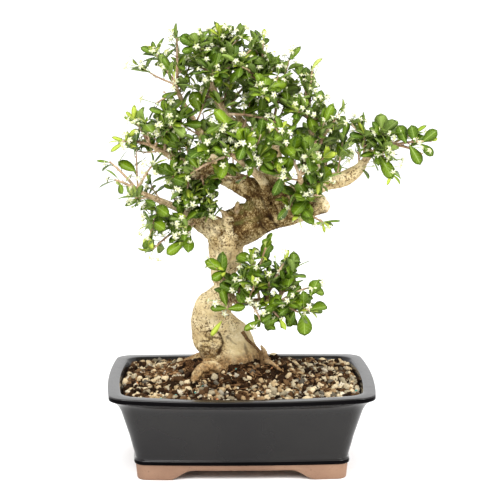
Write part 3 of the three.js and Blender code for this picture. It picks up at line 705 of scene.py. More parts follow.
def tubes(lines, radii, sides):
    """Thin tubes along many lines at once (tube, ring, xyz): points and faces."""
    ahead = unit(np.gradient(lines, axis=1))
    side, over = across_frames(ahead)
    turn = np.arange(sides) / sides * 2 * math.pi
    around = np.cos(turn)[:, None] * side[:, :, None] + np.sin(turn)[:, None] * over[:, :, None]
    rings = lines[:, :, None] + radii[:, :, None, None] * around
    count, steps = lines.shape[:2]
    points = np.concatenate([rings.reshape(count, -1, 3), lines[:, :1], lines[:, -1:]], axis=1)
    return points.reshape(-1, 3), copied(skin_faces(steps, sides), count, points.shape[1])


# %% Melt the wood into one skin
def melted(parts, voxel):
    """One skin, smoothed, round all the parts: (points, normals, quads) in millimetres."""
    points, groups = merged(parts)
    mesh = bpy.data.meshes.new("wood_parts")
    mesh.from_pydata(points.tolist(), [], [face for group in groups for face in group.tolist()])
    lump = add_object("wood_parts", mesh)
    remesh = lump.modifiers.new("melt", "REMESH")
    remesh.mode = "VOXEL"
    remesh.voxel_size = voxel
    soften = lump.modifiers.new("soften", "SMOOTH")
    soften.factor = 0.5
    soften.iterations = 3
    result = with_modifiers(lump)
    skin = np.empty(3 * len(result.vertices))
    result.vertices.foreach_get("co", skin)
    normals = np.empty(3 * len(result.vertices))
    result.vertex_normals.foreach_get("vector", normals)
    corners = np.empty(len(result.loops), int)
    result.loops.foreach_get("vertex_index", corners)
    bpy.data.objects.remove(lump)
    return skin.reshape(-1, 3), normals.reshape(-1, 3), corners.reshape(-1, 4)


wood_parts = [wood_tube(route, sides, lobe) for routes, sides, lobe in WOOD_KINDS for route in routes]
wood_skin, wood_normals, wood_quads = melted(wood_parts, WOOD_VOXEL)
print("melted wood:", len(wood_skin), "points")


# %% Know the wood's thickness everywhere
def wood_samples(spacing):
    """Rows (x, y, z, radius) taken along every route."""
    return np.concatenate([
        route_at(route, np.linspace(0, 1, max(4, int(length_of(route) / spacing))))
        for routes, _, _ in WOOD_KINDS for route in routes
    ])


def nearest_wood(points, samples, chunk=4000):
    """For each point, the sample whose tube it is nearest to or deepest in, and how far outside."""
    best, gap = [], []
    for start in range(0, len(points), chunk):
        some = points[start:start + chunk]
        far = np.linalg.norm(some[:, None] - samples[None, :, :3], axis=2) - samples[None, :, 3]
        i = far.argmin(1)
        best.append(i)
        gap.append(far[np.arange(len(some)), i])
    return np.concatenate(best), np.concatenate(gap)


WOOD = wood_samples(5)
nearest, _ = nearest_wood(wood_skin, WOOD)
girth = WOOD[nearest, 3]
print("wood samples:", len(WOOD), "girth from", girth.min().round(1), "to", girth.max().round(1))


# %% [markdown]
# The bark of this tree is thin, cream and tan, and cracked into small scales, with muscle-like folds
# that run up the trunk. A rough, warty patch sits low at the left of the front, with clefts beside
# it. The relief is a height for each point; the parts that lie deep, and the clefts, are stored as
# values, so that the finish can paint shade into them.

# %% Relief of the bark
def cleft(points, start, end, width):
    """1 along a wandering line in x and z and 0 off it: exp(-(distance / width)^2)."""
    start, end = np.array(start, float), np.array(end, float)
    flat = points[:, [0, 2]] + 1.7 * np.stack([noise(points, 6), noise(points + 31, 6)], -1)
    t = np.clip((flat - start) @ (end - start) / ((end - start) @ (end - start)), 0, 1)
    far = np.linalg.norm(flat - start - t[:, None] * (end - start), axis=1)
    return np.exp(-((far / width) ** 2))


def patch(points, middle, reach):
    """1 at the middle of a round patch, falling smoothly to 0 at its reach."""
    return 1 - smooth_step(0.4, 1, np.linalg.norm(points - np.array(middle, float), axis=1) / reach)


# Grooves in the front of the wood as (start, end, width, depth), with x and z for each end.
CLEFTS = [
    ((-27, 168), (-22, 155), 1.6, 3.4), ((-22, 155), (-29, 141), 1.8, 3.6),
    ((-54, 163), (-39, 169), 1.4, 1.8), ((-39, 169), (-27, 166), 1.5, 2.4),
    ((-19, 161), (-6, 152), 1.3, 1.2), ((14, 118), (6, 150), 2.2, 1.4),
    ((-55, 152), (-38, 157), 1.1, 1.6), ((-51, 144), (-34, 148), 1.1, 1.8),
    ((-44, 161), (-28, 160), 1.1, 1.8), ((-38, 157), (-27, 149), 1.1, 1.6),
    ((-46, 137), (-30, 139), 1.1, 1.6), ((-36, 168), (-33, 142), 1, 1.2),
    ((16, 323), (29, 298), 1.7, 2.4), ((29, 298), (43, 289), 1.5, 1.8),
    ((50, 329), (58, 307), 1.6, 1.8), ((-3, 348), (19, 327), 1.5, 1.6),
    ((19, 327), (32, 302), 1.5, 1.8), ((36, 317), (44, 302), 2.8, 3.4),
    ((-28, 293), (-23, 281), 2.2, 1.1), ((-48, 302), (-33, 298), 1.6, 1.2),
    ((-33, 298), (-26, 292), 1.8, 1.3), ((-30, 250), (-32, 270), 1.4, 1.2),
    ((-14, 236), (-13, 268), 1.3, 1), ((60, 312), (98, 322), 1.6, 1.4),
    ((70, 336), (120, 358), 1.6, 1.3), ((-10, 358), (-44, 370), 1.6, 1.5),
    ((26, 340), (34, 318), 1.5, 1.6), ((6, 318), (2, 300), 1.6, 1.5), ((-6, 306), (8, 288), 1.5, 1.3),
    ((44, 326), (48, 308), 1.5, 1.6), ((4, 352), (28, 336), 1.4, 1.2),
    ((30, 292), (62, 300), 1.4, 1.2),
]
# Warty swellings as (middle, reach, rise).
WARTS = [
    ((-40, -12, 150), 24, 3.2), ((-62, -2, 320), 12, 2.2), ((-14, -8, 284), 16, 1.4),
    ((22, -8, 318), 22, 1.8), ((-60, -8, 368), 14, 2), ((-46, -28, 118), 16, 1.6),
    ((100, -8, 328), 14, 1.6),
]


def bark_height(points, thick, aged):
    """Lumps, folds stretched along the grain, pits and warts, all smaller on thinner wood."""
    share = np.clip(thick / 30, 0.12, 1)
    lumps = 1.1 * fractal(points, 26, 2)
    folds = 0.9 * (0.4 - np.abs(fractal(points + 50, (10, 10, 30), 2)))
    scale = (0.35 + 1.1 * aged) * fractal(points, (3.8, 3.8, 5.5), 2)
    pits = -1.5 * smooth_step(0.42, 0.75, noise(points + 9, 3.4))
    pits = pits * smooth_step(-0.2, 0.5, noise(points, 21))
    height = share * (lumps + folds + pits) + np.sqrt(share) * scale
    for middle, reach, rise in WARTS:
        warts = 1.5 * np.abs(noise(points, 4.6)) + np.abs(noise(points, 2.4)) - 0.5
        height += patch(points, middle, reach) * rise * warts
    return height


def sawn(points):
    """1 on the flat cut ends of limbs: near the end of the route and past its last place."""
    made = np.zeros(len(points))
    for name in SAWN_ENDS:
        rows = np.array(LIMBS[name], float)
        ahead = unit(rows[-1, :3] - rows[-2, :3])
        past = (points - rows[-1, :3]) @ ahead
        close = np.linalg.norm(points - rows[-1, :3], axis=1) < 1.25 * rows[-1, 3]
        made = np.maximum(made, smooth_step(-1.6, -0.4, past) * close)
    return made


# Old, rough, brown bark as (middle, reach, share).
OLD_BARK = [
    ((30, 0, 325), 52, 1), ((8, 0, 300), 34, 0.7), ((58, 0, 316), 30, 0.8), ((6, 0, 352), 34, 0.6),
    ((-50, 0, 306), 30, 0.45), ((-36, -2, 366), 34, 0.55), ((92, -2, 324), 30, 0.42),
    ((-41, -8, 148), 26, 0.55), ((-46, -24, 116), 26, 0.5), ((-30, 2, 290), 26, 0.5),
    ((-4, 2, 284), 26, 0.5), ((90, 8, 346), 60, 0.3), ((24, 8, 116), 36, 0.35),
    ((-18, 10, 232), 24, 0.35), ((4, -28, 212), 42, 0.55), ((-6, -2, 322), 20, 0.7),
    ((74, -4, 330), 24, 0.5),
]
# Roots stained by the soil as (middle, reach, share).
EARTHY_ROOTS = [
    ((-46, -28, 122), 34, 0.62), ((29, -5, 134), 18, 0.9), ((42, -4, 122), 26, 0.8),
    ((-66, 38, 118), 36, 1),
]
aged = np.zeros(len(wood_skin))
for middle, reach, share in OLD_BARK:
    aged = np.maximum(aged, patch(wood_skin, middle, reach) * share)
aged = np.clip(aged + 0.3 * np.sign(aged) * fractal(wood_skin, 11, 2), 0, 1)

cut_face = sawn(wood_skin)
in_front = smooth_step(0.05, 0.4, -wood_normals[:, 1]) * (0.7 + 0.5 * noise(wood_skin, 9))
clefts = [(cleft(wood_skin, *row[:3]) * in_front, row[3]) for row in CLEFTS]
# Painted shade: the clefts are too narrow to cast their own shadow, so their darkness is painted.
crack = np.max([smooth_step(0.15, 0.65, line) * min(depth / 2.5, 1) for line, depth in clefts], axis=0)
relief = bark_height(wood_skin, girth, aged) - sum(depth * line for line, depth in clefts)
wood_points = wood_skin + wood_normals * (relief * (1 - 0.85 * cut_face))[:, None]
# Painted shade in the bark's hollows: the lower the relief, the darker the finish paints it.
deep = smooth_step(0.5, 2.8, 0.8 * fractal(wood_skin, 26, 2) * np.clip(girth / 30, 0.1, 1) - relief)
above_soil = wood_points[:, 2] - soil_height(wood_points[:, 0], wood_points[:, 1], 0)
earthy = smooth_step(21, 1, above_soil)
for middle, reach, share in EARTHY_ROOTS:
    earthy = np.maximum(earthy, patch(wood_skin, middle, reach) * share)
earthy = np.clip(earthy + 0.5 * np.sign(earthy) * fractal(wood_skin, 8, 2), 0, 1)
bare_flank = patch(wood_skin, (12, -12, 148), 44)
_, off_aerial = nearest_wood(wood_skin, route_at(ROOTS["aerial_root"], np.linspace(0, 1, 60)))
on_aerial = smooth_step(1.8, 0.6, off_aerial)
earthy = np.maximum(earthy, on_aerial)
# The aerial root's own dark brown rides on the same value as the painted cleft shade.
crack = np.maximum(crack, 0.6 * on_aerial)
print("bark relief from", relief.min().round(1), "to", relief.max().round(1))

# %% [markdown]
# The wood is not one colour. The trunk is pale cream with dark pits, the old fork is brown and
# mottled, thin boughs are darker, a little moss sits on the fork, and sawn ends are light. Each of
# these is a value from 0 to 1 stored on the mesh, and the finish blends them.

# %% Where the bark is thin or mossy
slim = (1 - smooth_step(2.5, 7, girth)) * (1 - 0.6 * aged)
on_fork = patch(wood_skin, (-2, 2, 318), 36) * smooth_step(-0.1, 0.7, wood_normals[:, 2])
moss = 0.65 * on_fork * smooth_step(-0.3, 0.4, fractal(wood_skin, 12, 2))

# %% Finish of the bark
bark = Finish("bark", 0.85, Specular_IOR_Level=0.08)
pale = bark.ramp(
    bark.speckle(60, 5, 0.65), (0.3, (0.40, 0.285, 0.135)), (0.45, (0.57, 0.445, 0.235)),
    (0.6, (0.69, 0.575, 0.345)), (0.75, (0.76, 0.66, 0.43)),
)
mottle = bark.speckle(260, 4, 0.7)
pale = bark.blend(bark.times(bark.band(mottle, 0.5, 0.66), 0.45), pale, (0.40, 0.27, 0.13))
patches = bark.times(bark.maths("SUBTRACT", bark.speckle(55, 3), 0.5), 0.8)
old = bark.ramp(
    bark.maths("ADD", bark.speckle(400, 5, 0.8), patches), (0.38, (0.040, 0.019, 0.005)),
    (0.47, (0.115, 0.066, 0.021)), (0.55, (0.26, 0.17, 0.063)), (0.63, (0.53, 0.41, 0.20)),
)
ragged = bark.times(bark.maths("SUBTRACT", mottle, 0.5), 1.4)
edge = bark.maths("ADD", bark.stored("aged"), ragged)
tan = bark.blend(bark.band(edge, 0.3, 0.6), pale, old)
pitted = bark.times(
    bark.band(bark.speckle(430, 2, 0.5), 0.545, 0.61), bark.band(bark.speckle(48), 0.36, 0.5)
)
pitted = bark.times(pitted, bark.rest(bark.stored("bare_flank")))
tan = bark.blend(bark.times(pitted, 0.85), tan, (0.085, 0.045, 0.016))
# Painted shade laid into the hollows of the bark.
tan = bark.stain(tan, "deep", 0.8, (0.07, 0.036, 0.014))
thin = bark.ramp(
    bark.speckle(240, 4, 0.7), (0.36, (0.20, 0.112, 0.054)), (0.52, (0.49, 0.335, 0.19)),
    (0.68, (0.78, 0.63, 0.42)),
)
tan = bark.stain(tan, "slim", 0.85, thin)
earth = bark.ramp(
    bark.speckle(300, 5, 0.8), (0.38, (0.045, 0.020, 0.007)), (0.5, (0.20, 0.105, 0.04)),
    (0.62, (0.42, 0.26, 0.11)),
)
tan = bark.stain(tan, "earthy", 0.9, earth)
# Painted shade in the clefts, and the aerial root's own dark brown.
tan = bark.stain(tan, "crack", 0.88, (0.032, 0.015, 0.006))
tan = bark.blend(bark.stored("moss"), tan, (0.16, 0.17, 0.045))
rings = bark.ramp(bark.speckle(240, 2), (0.35, (0.55, 0.40, 0.22)), (0.65, (0.78, 0.66, 0.46)))
bark.colour(bark.blend(bark.stored("cut"), tan, rings))
bark.bump(bark.speckle(520, 5, 0.75), 0.001, 0.9)
make_piece(
    "wood", wood_points, [wood_quads], "bark", ["trunk"], [bark.material],
    deep=deep, slim=slim, cut=cut_face, moss=moss, aged=aged, crack=crack, earthy=earthy,
    bare_flank=bare_flank,
)

# %% [markdown]
# ## The soil
#
# Bonsai soil is grit: cream, tan and grey stones of 3 to 10 mm, with darker stones and finer stuff
# round the trunk. A displaced plane would look like mud, so the bed is a rough heightfield in
# the form of the CAD solid, and real pebbles, a few dozen faces each, lie in and on it.

# %% Skin of the soil bed
SOIL_RINGS = 60


def soil_rings():
    """Rings of the bed: up its side in the pot, and then inwards over the rough top."""
    side_heights = np.array([FLOOR_TOP + 1.3, 34, 60, 88.5, SOIL_EDGE - 1.5])
    sides = pot_rings(side_heights, soil_inset(side_heights))
    edge = pot_rings([SOIL_EDGE], [soil_inset(SOIL_EDGE)])[0]
    shrink = np.linspace(0.995, 0.02, SOIL_RINGS)[:, None]
    x, y = edge[:, 0] * shrink, edge[:, 1] * shrink
    flat = np.stack([x, y, 0 * x], axis=-1).reshape(-1, 3)
    rough = (0.9 * fractal(flat, 6, 3) + 1.2 * noise(flat, 22)).reshape(x.shape)
    z = soil_height(x, y, shrink) + rough * (1 - shrink**12)
    return np.concatenate([sides, np.stack([x, y, z], axis=-1)])


# %% Finish of the soil bed
humus = Finish("humus", 0.95, Specular_IOR_Level=0.03)
crumbs = humus.flecked(
    420, (0.32, (0.005, 0.002, 0.001)), (0.5, (0.018, 0.008, 0.003)), (0.68, (0.08, 0.038, 0.015)),
    detail=5, rough=0.75,
)
humus.bump(crumbs, 0.003, 0.9)
bed = soil_rings()
make_piece(
    "soil_bed", skin_points(bed), skin_faces(len(bed), len(STATIONS)), "soil", ["soil"], [humus.material],
)


# %% Pebbles, chips and grains on the bed
PEBBLE_RINGS, PEBBLE_SIDES = 5, 7


def pebble_shape():
    """A ball as rings of points, each turned a little on, and two poles: unit points and faces."""
    turn = np.arange(PEBBLE_SIDES) / PEBBLE_SIDES * 2 * math.pi
    turn = turn + 0.2 * np.arange(PEBBLE_RINGS)[:, None]
    fall = np.linspace(0, math.pi, PEBBLE_RINGS + 2)[1:-1, None]
    rings = np.stack(
        [np.sin(fall) * np.cos(turn), np.sin(fall) * np.sin(turn), np.cos(fall) + 0 * turn], axis=-1
    )
    points = np.concatenate([rings.reshape(-1, 3), [[0, 0, 1.0]], [[0, 0, -1.0]]])
    return points, skin_faces(PEBBLE_RINGS, PEBBLE_SIDES)


def turned_at_random(rng, count):
    """Random rotations as count 3 by 3 matrices, from unit quaternions."""
    w, x, y, z = unit(rng.normal(size=(count, 4))).T
    return np.stack(
        [
            1 - 2 * (y * y + z * z), 2 * (x * y - z * w), 2 * (x * z + y * w),
            2 * (x * y + z * w), 1 - 2 * (x * x + z * z), 2 * (y * z - x * w),
            2 * (x * z - y * w), 2 * (y * z + x * w), 1 - 2 * (x * x + y * y),
        ],
        axis=-1,
    ).reshape(count, 3, 3)


def scattered(rng, count, ease):
    """Places (x, y, share of the way out) spread over the soil; a higher ease favours the edge."""
    edge = pot_rings([SOIL_EDGE], [soil_inset(SOIL_EDGE) + 2.2])[0]
    station = rng.uniform(0, len(edge), count)
    low = station.astype(int) % len(edge)
    on_edge = edge[low] + (station % 1)[:, None] * (edge[(low + 1) % len(edge)] - edge[low])
    share = rng.uniform(0, 1, count) ** ease
    return on_edge[:, 0] * share, on_edge[:, 1] * share, share


def pebbles(rng, count, sizes, flatness, ease, sink):
    """Places, turns and squashes pebbles: points (pebble, point, xyz) and how far out each lies."""
    shape, _ = pebble_shape()
    x, y, share = scattered(rng, count, ease)
    radius = (sizes[0] + (sizes[1] - sizes[0]) * rng.uniform(0, 1, count) ** 1.4) / 2
    middle = np.stack([x, y, soil_height(x, y, share) + radius * rng.uniform(*sink, count)], axis=-1)
    lumpy = 1 + 0.2 * rng.normal(size=(count, len(shape), 1))
    local = shape * np.clip(lumpy, 0.65, 1.3)
    local = local * rng.uniform(0.7, 1.25, (count, 1, 3)) * [1, 1, flatness]
    local = np.einsum("pij,pkj->pki", turned_at_random(rng, count), local)
    points = middle[:, None] + local * radius[:, None, None]
    _, gap = nearest_wood(middle, WOOD)
    kept = (gap > 0.4 * radius) & (points[..., 2].max(1) < SOIL_EDGE + 30)
    return points[kept], share[kept]


def pebble_piece(name, points, finish, tint):
    """One piece of many pebbles, each with its own tint."""
    count, corners = points.shape[:2]
    make_piece(
        name, points.reshape(-1, 3), copied(pebble_shape()[1], count, corners), "soil", ["soil"],
        [finish.material], tint=np.repeat(tint, corners),
    )


# %% Finish of the stones
stone = Finish("grit_stone", 0.9, Specular_IOR_Level=0.08)
kinds_of_stone = stone.ramp(
    stone.stored("tint"), (0.0, (0.008, 0.0035, 0.001)), (0.16, (0.032, 0.015, 0.006)),
    (0.3, (0.11, 0.058, 0.026)), (0.4, (0.24, 0.145, 0.068)), (0.5, (0.43, 0.315, 0.17)),
    (0.66, (0.72, 0.60, 0.39)), (0.76, (0.51, 0.44, 0.30)), (0.86, (0.22, 0.185, 0.12)),
    (0.94, (0.08, 0.07, 0.055)), (1.0, (0.72, 0.65, 0.50)),
)
pits = stone.speckle(900, 4, 0.7)
stone.colour(stone.blend(stone.band(pits, 0.4, 0.7), kinds_of_stone, (0.5, 0.43, 0.36), "MULTIPLY"))
stone.bump(pits, 0.0006, 0.8)

# %% Stones, fines and bark chips
rng = np.random.default_rng(11)
grit, share = pebbles(rng, 2500, (2.8, 10.5), 0.75, 0.49, (-0.25, 0.5))
near_trunk = 1 - smooth_step(0.3, 0.66, share + 0.25 * noise(grit.mean(1), 26))
tint = rng.uniform(0, 1, len(grit))
dark_share = 0.28 + 0.46 * near_trunk - 0.0009 * grit.mean(1)[:, 0]
dark = rng.uniform(0, 1, len(grit)) < dark_share
pebble_piece("grit", grit, stone, np.where(dark, 0.24 * tint, 0.26 + 0.74 * tint))
fines, _ = pebbles(rng, 2600, (1.2, 3.6), 0.7, 0.55, (0.0, 0.8))
tint = np.where(rng.uniform(0, 1, len(fines)) < 0.16, rng.uniform(0.4, 0.75, len(fines)), 0.2)
pebble_piece("fines", fines, stone, tint * rng.uniform(0.1, 1, len(fines)))
chip = Finish("bark_chip", 0.95, Specular_IOR_Level=0.03)
flakes = chip.flecked(
    650, (0.36, (0.010, 0.004, 0.001)), (0.5, (0.055, 0.026, 0.011)), (0.64, (0.20, 0.11, 0.052)),
    detail=5, rough=0.8,
)
chip.bump(flakes, 0.0015, 0.9)
chips, _ = pebbles(rng, 150, (4, 13), 0.22, 0.5, (0.1, 0.4))
pebble_piece("bark_chips", chips, chip, np.zeros(len(chips)))

# %% [markdown]
# Dry hair roots lie on the soil, thickest to the left of the trunk. Each is a thin bent tube whose
# line is a start, a way along the soil and a sideways bow.

# %% Hair roots
FIBRES = 900
FIBRE_POINTS = 6
FIBRE_RADIUS = 0.42
# Where the hair roots lie, as (middle, spread): most beside the trunk, the rest over the bed.
THICKET, SCATTER = ([-66, 18], [26, 26]), ([0, -6], [62, 36])
THICKET_SHARE = 0.55
FIBRES_END_X, FIBRES_END_Y = 128, 90


def hair_root_lines(rng):
    """Lines of hair roots: start + reach * (way * s + bow * s^2), laid on the soil."""
    thick = (rng.uniform(0, 1, FIBRES) < THICKET_SHARE)[:, None]
    middle, spread = (np.where(thick, *pair) for pair in zip(THICKET, SCATTER))
    start = middle + rng.normal(size=(FIBRES, 2)) * spread
    turn = rng.uniform(0, 2 * math.pi, FIBRES)
    s = np.linspace(-1, 1, FIBRE_POINTS)[None, :, None]
    way = np.stack([np.cos(turn), np.sin(turn)], -1)[:, None]
    bow = np.stack([-np.sin(turn), np.cos(turn)], -1)[:, None] * rng.uniform(-0.5, 0.5, (FIBRES, 1, 1))
    reach = rng.uniform(3, 9, (FIBRES, 1, 1))
    flat = start[:, None] + reach * (way * s + bow * s**2)
    height = soil_height(flat[..., 0], flat[..., 1], 0) + rng.uniform(0.4, 2.6, (FIBRES, 1))
    lines = np.concatenate([flat, height[..., None]], axis=-1)
    _, gap = nearest_wood(lines.reshape(-1, 3), WOOD)
    off_wood = gap.reshape(FIBRES, -1).min(1) > 1
    far_x, far_y = np.abs(flat).max(1).T
    return lines[off_wood & (far_x < FIBRES_END_X) & (far_y < FIBRES_END_Y)]


fibre_brown = Finish("hair_root", 0.9, Specular_IOR_Level=0.05)
fibre_brown.flecked(
    120, (0.35, (0.05, 0.022, 0.009)), (0.5, (0.17, 0.085, 0.036)), (0.65, (0.38, 0.23, 0.11)),
)
fibre_brown.bump(fibre_brown.speckle(900, 2), 0.0002, 0.4)
fibres = hair_root_lines(rng)
points, groups = tubes(fibres, np.full(fibres.shape[:2], FIBRE_RADIUS), 4)
make_piece("hair_roots", points, groups, "soil", ["soil"], [fibre_brown.material])

# %% [markdown]
# A few coloured grains of fertiliser lie between the stones: teal ones and rusty ones.

# %% Fertiliser grains
teal = Finish("teal_grain", 0.6)
teal.flecked(500, (0.3, (0.02, 0.13, 0.11)), (0.7, (0.07, 0.28, 0.24)))
rust = Finish("rust_grain", 0.7)
rust.flecked(500, (0.3, (0.30, 0.09, 0.025)), (0.7, (0.55, 0.22, 0.07)))
for name, finish, count in (("teal_grains", teal, 26), ("rust_grains", rust, 30)):
    grains, _ = pebbles(rng, count, (2.2, 4), 0.9, 0.5, (0.5, 0.9))
    pebble_piece(name, grains, finish, np.zeros(len(grains)))

# %% [markdown]
# ## The sprays
#
# Each spray is a twig that leaves its bough, rises a little and ends at a known tip. Short spurs
# stand along it in a spiral, and each spur carries a rosette of small spoon-shaped leaves with a few
# teeth at the tip. Particles or instances would not reach the exported model, so every leaf is
# worked out at once as one big array: leaf number, point number, x, y and z.

# %% Tips of the twigs, by bough
# Each tip is (x, y, z, share of the leaves that a full twig carries).
SPRAY_TIPS = {
    "leader": [(-23, 8, 532, 1), (-55, -20, 526, 0.8), (-70, 24, 502, 0.7), (-35, -48, 494, 0.9)],
    "crown_right": [(19, 18, 524, 0.9), (-1, -30, 502, 0.9), (41, -2, 501, 0.9), (27, -58, 468, 0.9)],
    "right": [(79, 10, 480, 0.7), (95, -18, 455, 0.5), (68, -52, 448, 0.9), (108, 34, 426, 0.5)],
    "far_right": [
        (139, 14, 427, 0.55), (172, -14, 420, 0.7), (217, 14, 415, 0.08), (225, -8, 392, 0.08),
        (186, -8, 368, 0.12),
    ],
    "top_left": [(-104, 0, 515, 0.9), (-84, -26, 483, 0.35), (-105, 14, 453, 0.1)],
    "mid_left": [
        (-131, -12, 435, 0.35), (-146, -23, 410, 0.06), (-111, 30, 404, 0.3), (-84, -48, 431, 1),
    ],
    "low_left": [
        (-156, -16, 362, 0.3), (-126, 16, 335, 0.5), (-109, -34, 381, 0.2), (-113, -20, 292, 0.9),
        (-68, -36, 305, 0.8),
    ],
    "front": [(-24, -98, 440, 0.9), (4, -104, 417, 0.9), (-45, -86, 406, 0.8), (-62, -58, 374, 0.8)],
    "front_right": [(40, -86, 432, 0.9), (79, -74, 397, 0.8), (98, -44, 362, 0.7)],
    "back": [(-17, 116, 408, 1), (22, 108, 385, 1)],
    "back_right": [(87, 96, 405, 1), (134, 72, 388, 0.6)],
    "back_left": [(-97, 84, 393, 0.8), (-56, 72, 361, 0.9)],
    "back_top": [(-43, 86, 455, 1), (19, 72, 481, 1)],
    "under_limb": [(101, -18, 309, 0.12)],
    "low_branch": [
        (-31, -40, 255, 0.06), (13, -52, 265, 0.8), (55, -34, 251, 0.7), (82, -46, 231, 0.5),
        (69, -58, 203, 0.4),
    ],
}
# Twigs between the named tips, as (start, tip, share of leaves).
STRAYS = {
    "leader": [
        ((-34, 5, 478), (-50, -12, 536), 0.7), ((-28, 7, 498), (-25, 4, 538), 0.3),
        ((-28, 7, 498), (2, 4, 538), 0.8), ((-18, 6, 440), (42, -34, 434), 0.6),
    ],
    "crown_right": [((26, 10, 470), (28, 4, 532), 0.5), ((40, 16, 424), (60, 6, 508), 0.7)],
    "right": [((84, -2, 436), (88, 2, 494), 0.4), ((92, 0, 392), (122, -6, 442), 0.3)],
    "top_left": [((-78, -4, 474), (-78, -10, 535), 0.5)],
    "front_right": [
        ((66, -10, 343), (60, -34, 328), 0.7), ((68, -14, 346), (84, -38, 339), 0.7),
        ((70, -20, 350), (72, -42, 322), 0.5),
    ],
    "far_right": [((172, 6, 396), (236, -8, 408), 0), ((160, 6, 388), (176, -20, 396), 0.8)],
    "mid_left": [
        ((-62, -4, 376), (-66, -26, 352), 1), ((-70, -6, 381), (-84, -30, 366), 0.8),
        ((-50, -4, 370), (-46, -22, 356), 0.8), ((-94, -6, 394), (-88, -22, 448), 0.9),
        ((-80, -6, 387), (-72, -28, 442), 0.9),
    ],
    "low_left": [
        ((-60, 2, 308), (-110, -14, 274), 0.6), ((-54, 2, 312), (-42, -12, 346), 0.9),
        ((-128, -12, 348), (-162, -14, 384), 0.12), ((-56, 0, 308), (-72, -26, 286), 0.5),
        ((-66, 2, 318), (-58, -16, 346), 0.9), ((-40, 4, 304), (-36, -14, 328), 0.6),
    ],
    "front": [((-12, -66, 398), (-11, -90, 428), 0.5), ((10, -46, 380), (22, -72, 396), 0.8)],
    "low_branch": [
        ((11, -33, 212), (30, -48, 282), 0.4), ((-14, -14, 219), (-18, -46, 206), 0.1),
        ((11, -33, 212), (24, -50, 191), 0.3), ((-6, -26, 211), (2, -48, 240), 0.7),
        ((30, -38, 214), (34, -54, 240), 0.6), ((24, -36, 213), (46, -56, 196), 0.5),
        ((40, -40, 213), (84, -56, 204), 0.5), ((30, -38, 214), (52, -46, 262), 0.5),
    ],
}
# Bare stretches of bough, which carry no short twigs between the named ones.
BARE_BOUGHS = ("far_right", "under_limb")
# Limbs that carry short twigs of a bough too, as (limb, lift).
TWIGGY_LIMBS = {"top_left": ("upper_left_limb", 1.2), "far_right": ("upper_right_limb", 1.4)}
# Where the short twigs of a bough start, and the share of leaves that they carry.
FIRST_FILL = {"low_branch": 0.55}
FILL_SHARES = {"top_left": 0.42, "mid_left": 0.45, "low_left": 0.42}
FILL_SHARE = 0.8
TWIG_LENGTH = 34
CROWN_MIDDLE = np.array([25.0, 5, 400])
LOW_MIDDLE = np.array([25.0, 0, 205])
SPRAY_SPURS = 10
SPRAY_POINTS = 15
FILL_SPURS = 5
FILL_POINTS = 9
FILL_SPACING = 12


# %% Twigs and the spurs along them
def arched(base, tip, count):
    """A line from base to tip, drawn up in its middle by a tenth of its length: a Bezier curve."""
    base, tip = np.array(base, float), np.array(tip, float)
    middle = (base + tip) / 2 + 0.1 * np.linalg.norm(tip - base) * UP
    t = np.linspace(0, 1, count)[:, None]
    return (1 - t) ** 2 * base + 2 * t * (1 - t) * middle + t**2 * tip


def twig_start(route, tip):
    """Where a twig leaves its bough: the place nearest to its tip, but not too near."""
    places = route_at(route, np.linspace(0, 1, 51))[:, :3]
    reach = np.linalg.norm(places - tip, axis=1)
    return places[np.where(reach >= TWIG_LENGTH, reach, np.inf).argmin()]


def spiral(rng, ahead):
    """Directions across a twig or a bough, each a golden turn on from the last."""
    side, over = across_frames(ahead)
    return at_angle(np.arange(len(ahead)) * GOLDEN_TURN + rng.uniform(0, 6), side, over)


def fill_lines(rng, route, first, lift=0.25):
    """Short twigs in a golden-turn spiral along a bough: arcs of base + way * length + a rise."""
    count = max(2, int(length_of(route) * (1 - first) / FILL_SPACING))
    t = np.linspace(first, 0.99, count)
    base = route_at(route, t)[:, :3]
    ahead = unit(route_at(route, t + 0.01)[:, :3] - route_at(route, t - 0.02)[:, :3])
    way = unit(0.55 * ahead + spiral(rng, ahead) + lift * UP)
    reach = rng.uniform(26, 50, (count, 1))
    s = np.linspace(0, 1, FILL_POINTS)[:, None]
    lines = base[:, None] + (reach * way)[:, None] * s + UP * (0.22 * reach)[:, None] * s**2
    return list(lines)


def spurs_of(rng, line, count, low, share):
    """Rows (root, end, way, share of leaves, 1 at the tip) of a twig's spurs, set in a spiral."""
    at = np.linspace(low, 0.97, count) + rng.uniform(-0.02, 0.02, count)
    place = at * (len(line) - 1)
    i = np.minimum(place.astype(int), len(line) - 2)
    root = line[i] + (place - i)[:, None] * (line[i + 1] - line[i])
    ahead = unit(line[i + 1] - line[i])
    way = unit(0.65 * ahead + spiral(rng, ahead) + 0.3 * UP)
    end = root + way * rng.uniform(2, 9, (count, 1)) * (1.25 - at)[:, None]
    tip_way = unit(line[-1] - line[-2])
    rows = np.column_stack([root, end, way, np.full(count, share), np.zeros(count)])
    return np.concatenate([rows, [[*line[-1], *(line[-1] + tip_way), *tip_way, max(share, 0.5), 1]]])


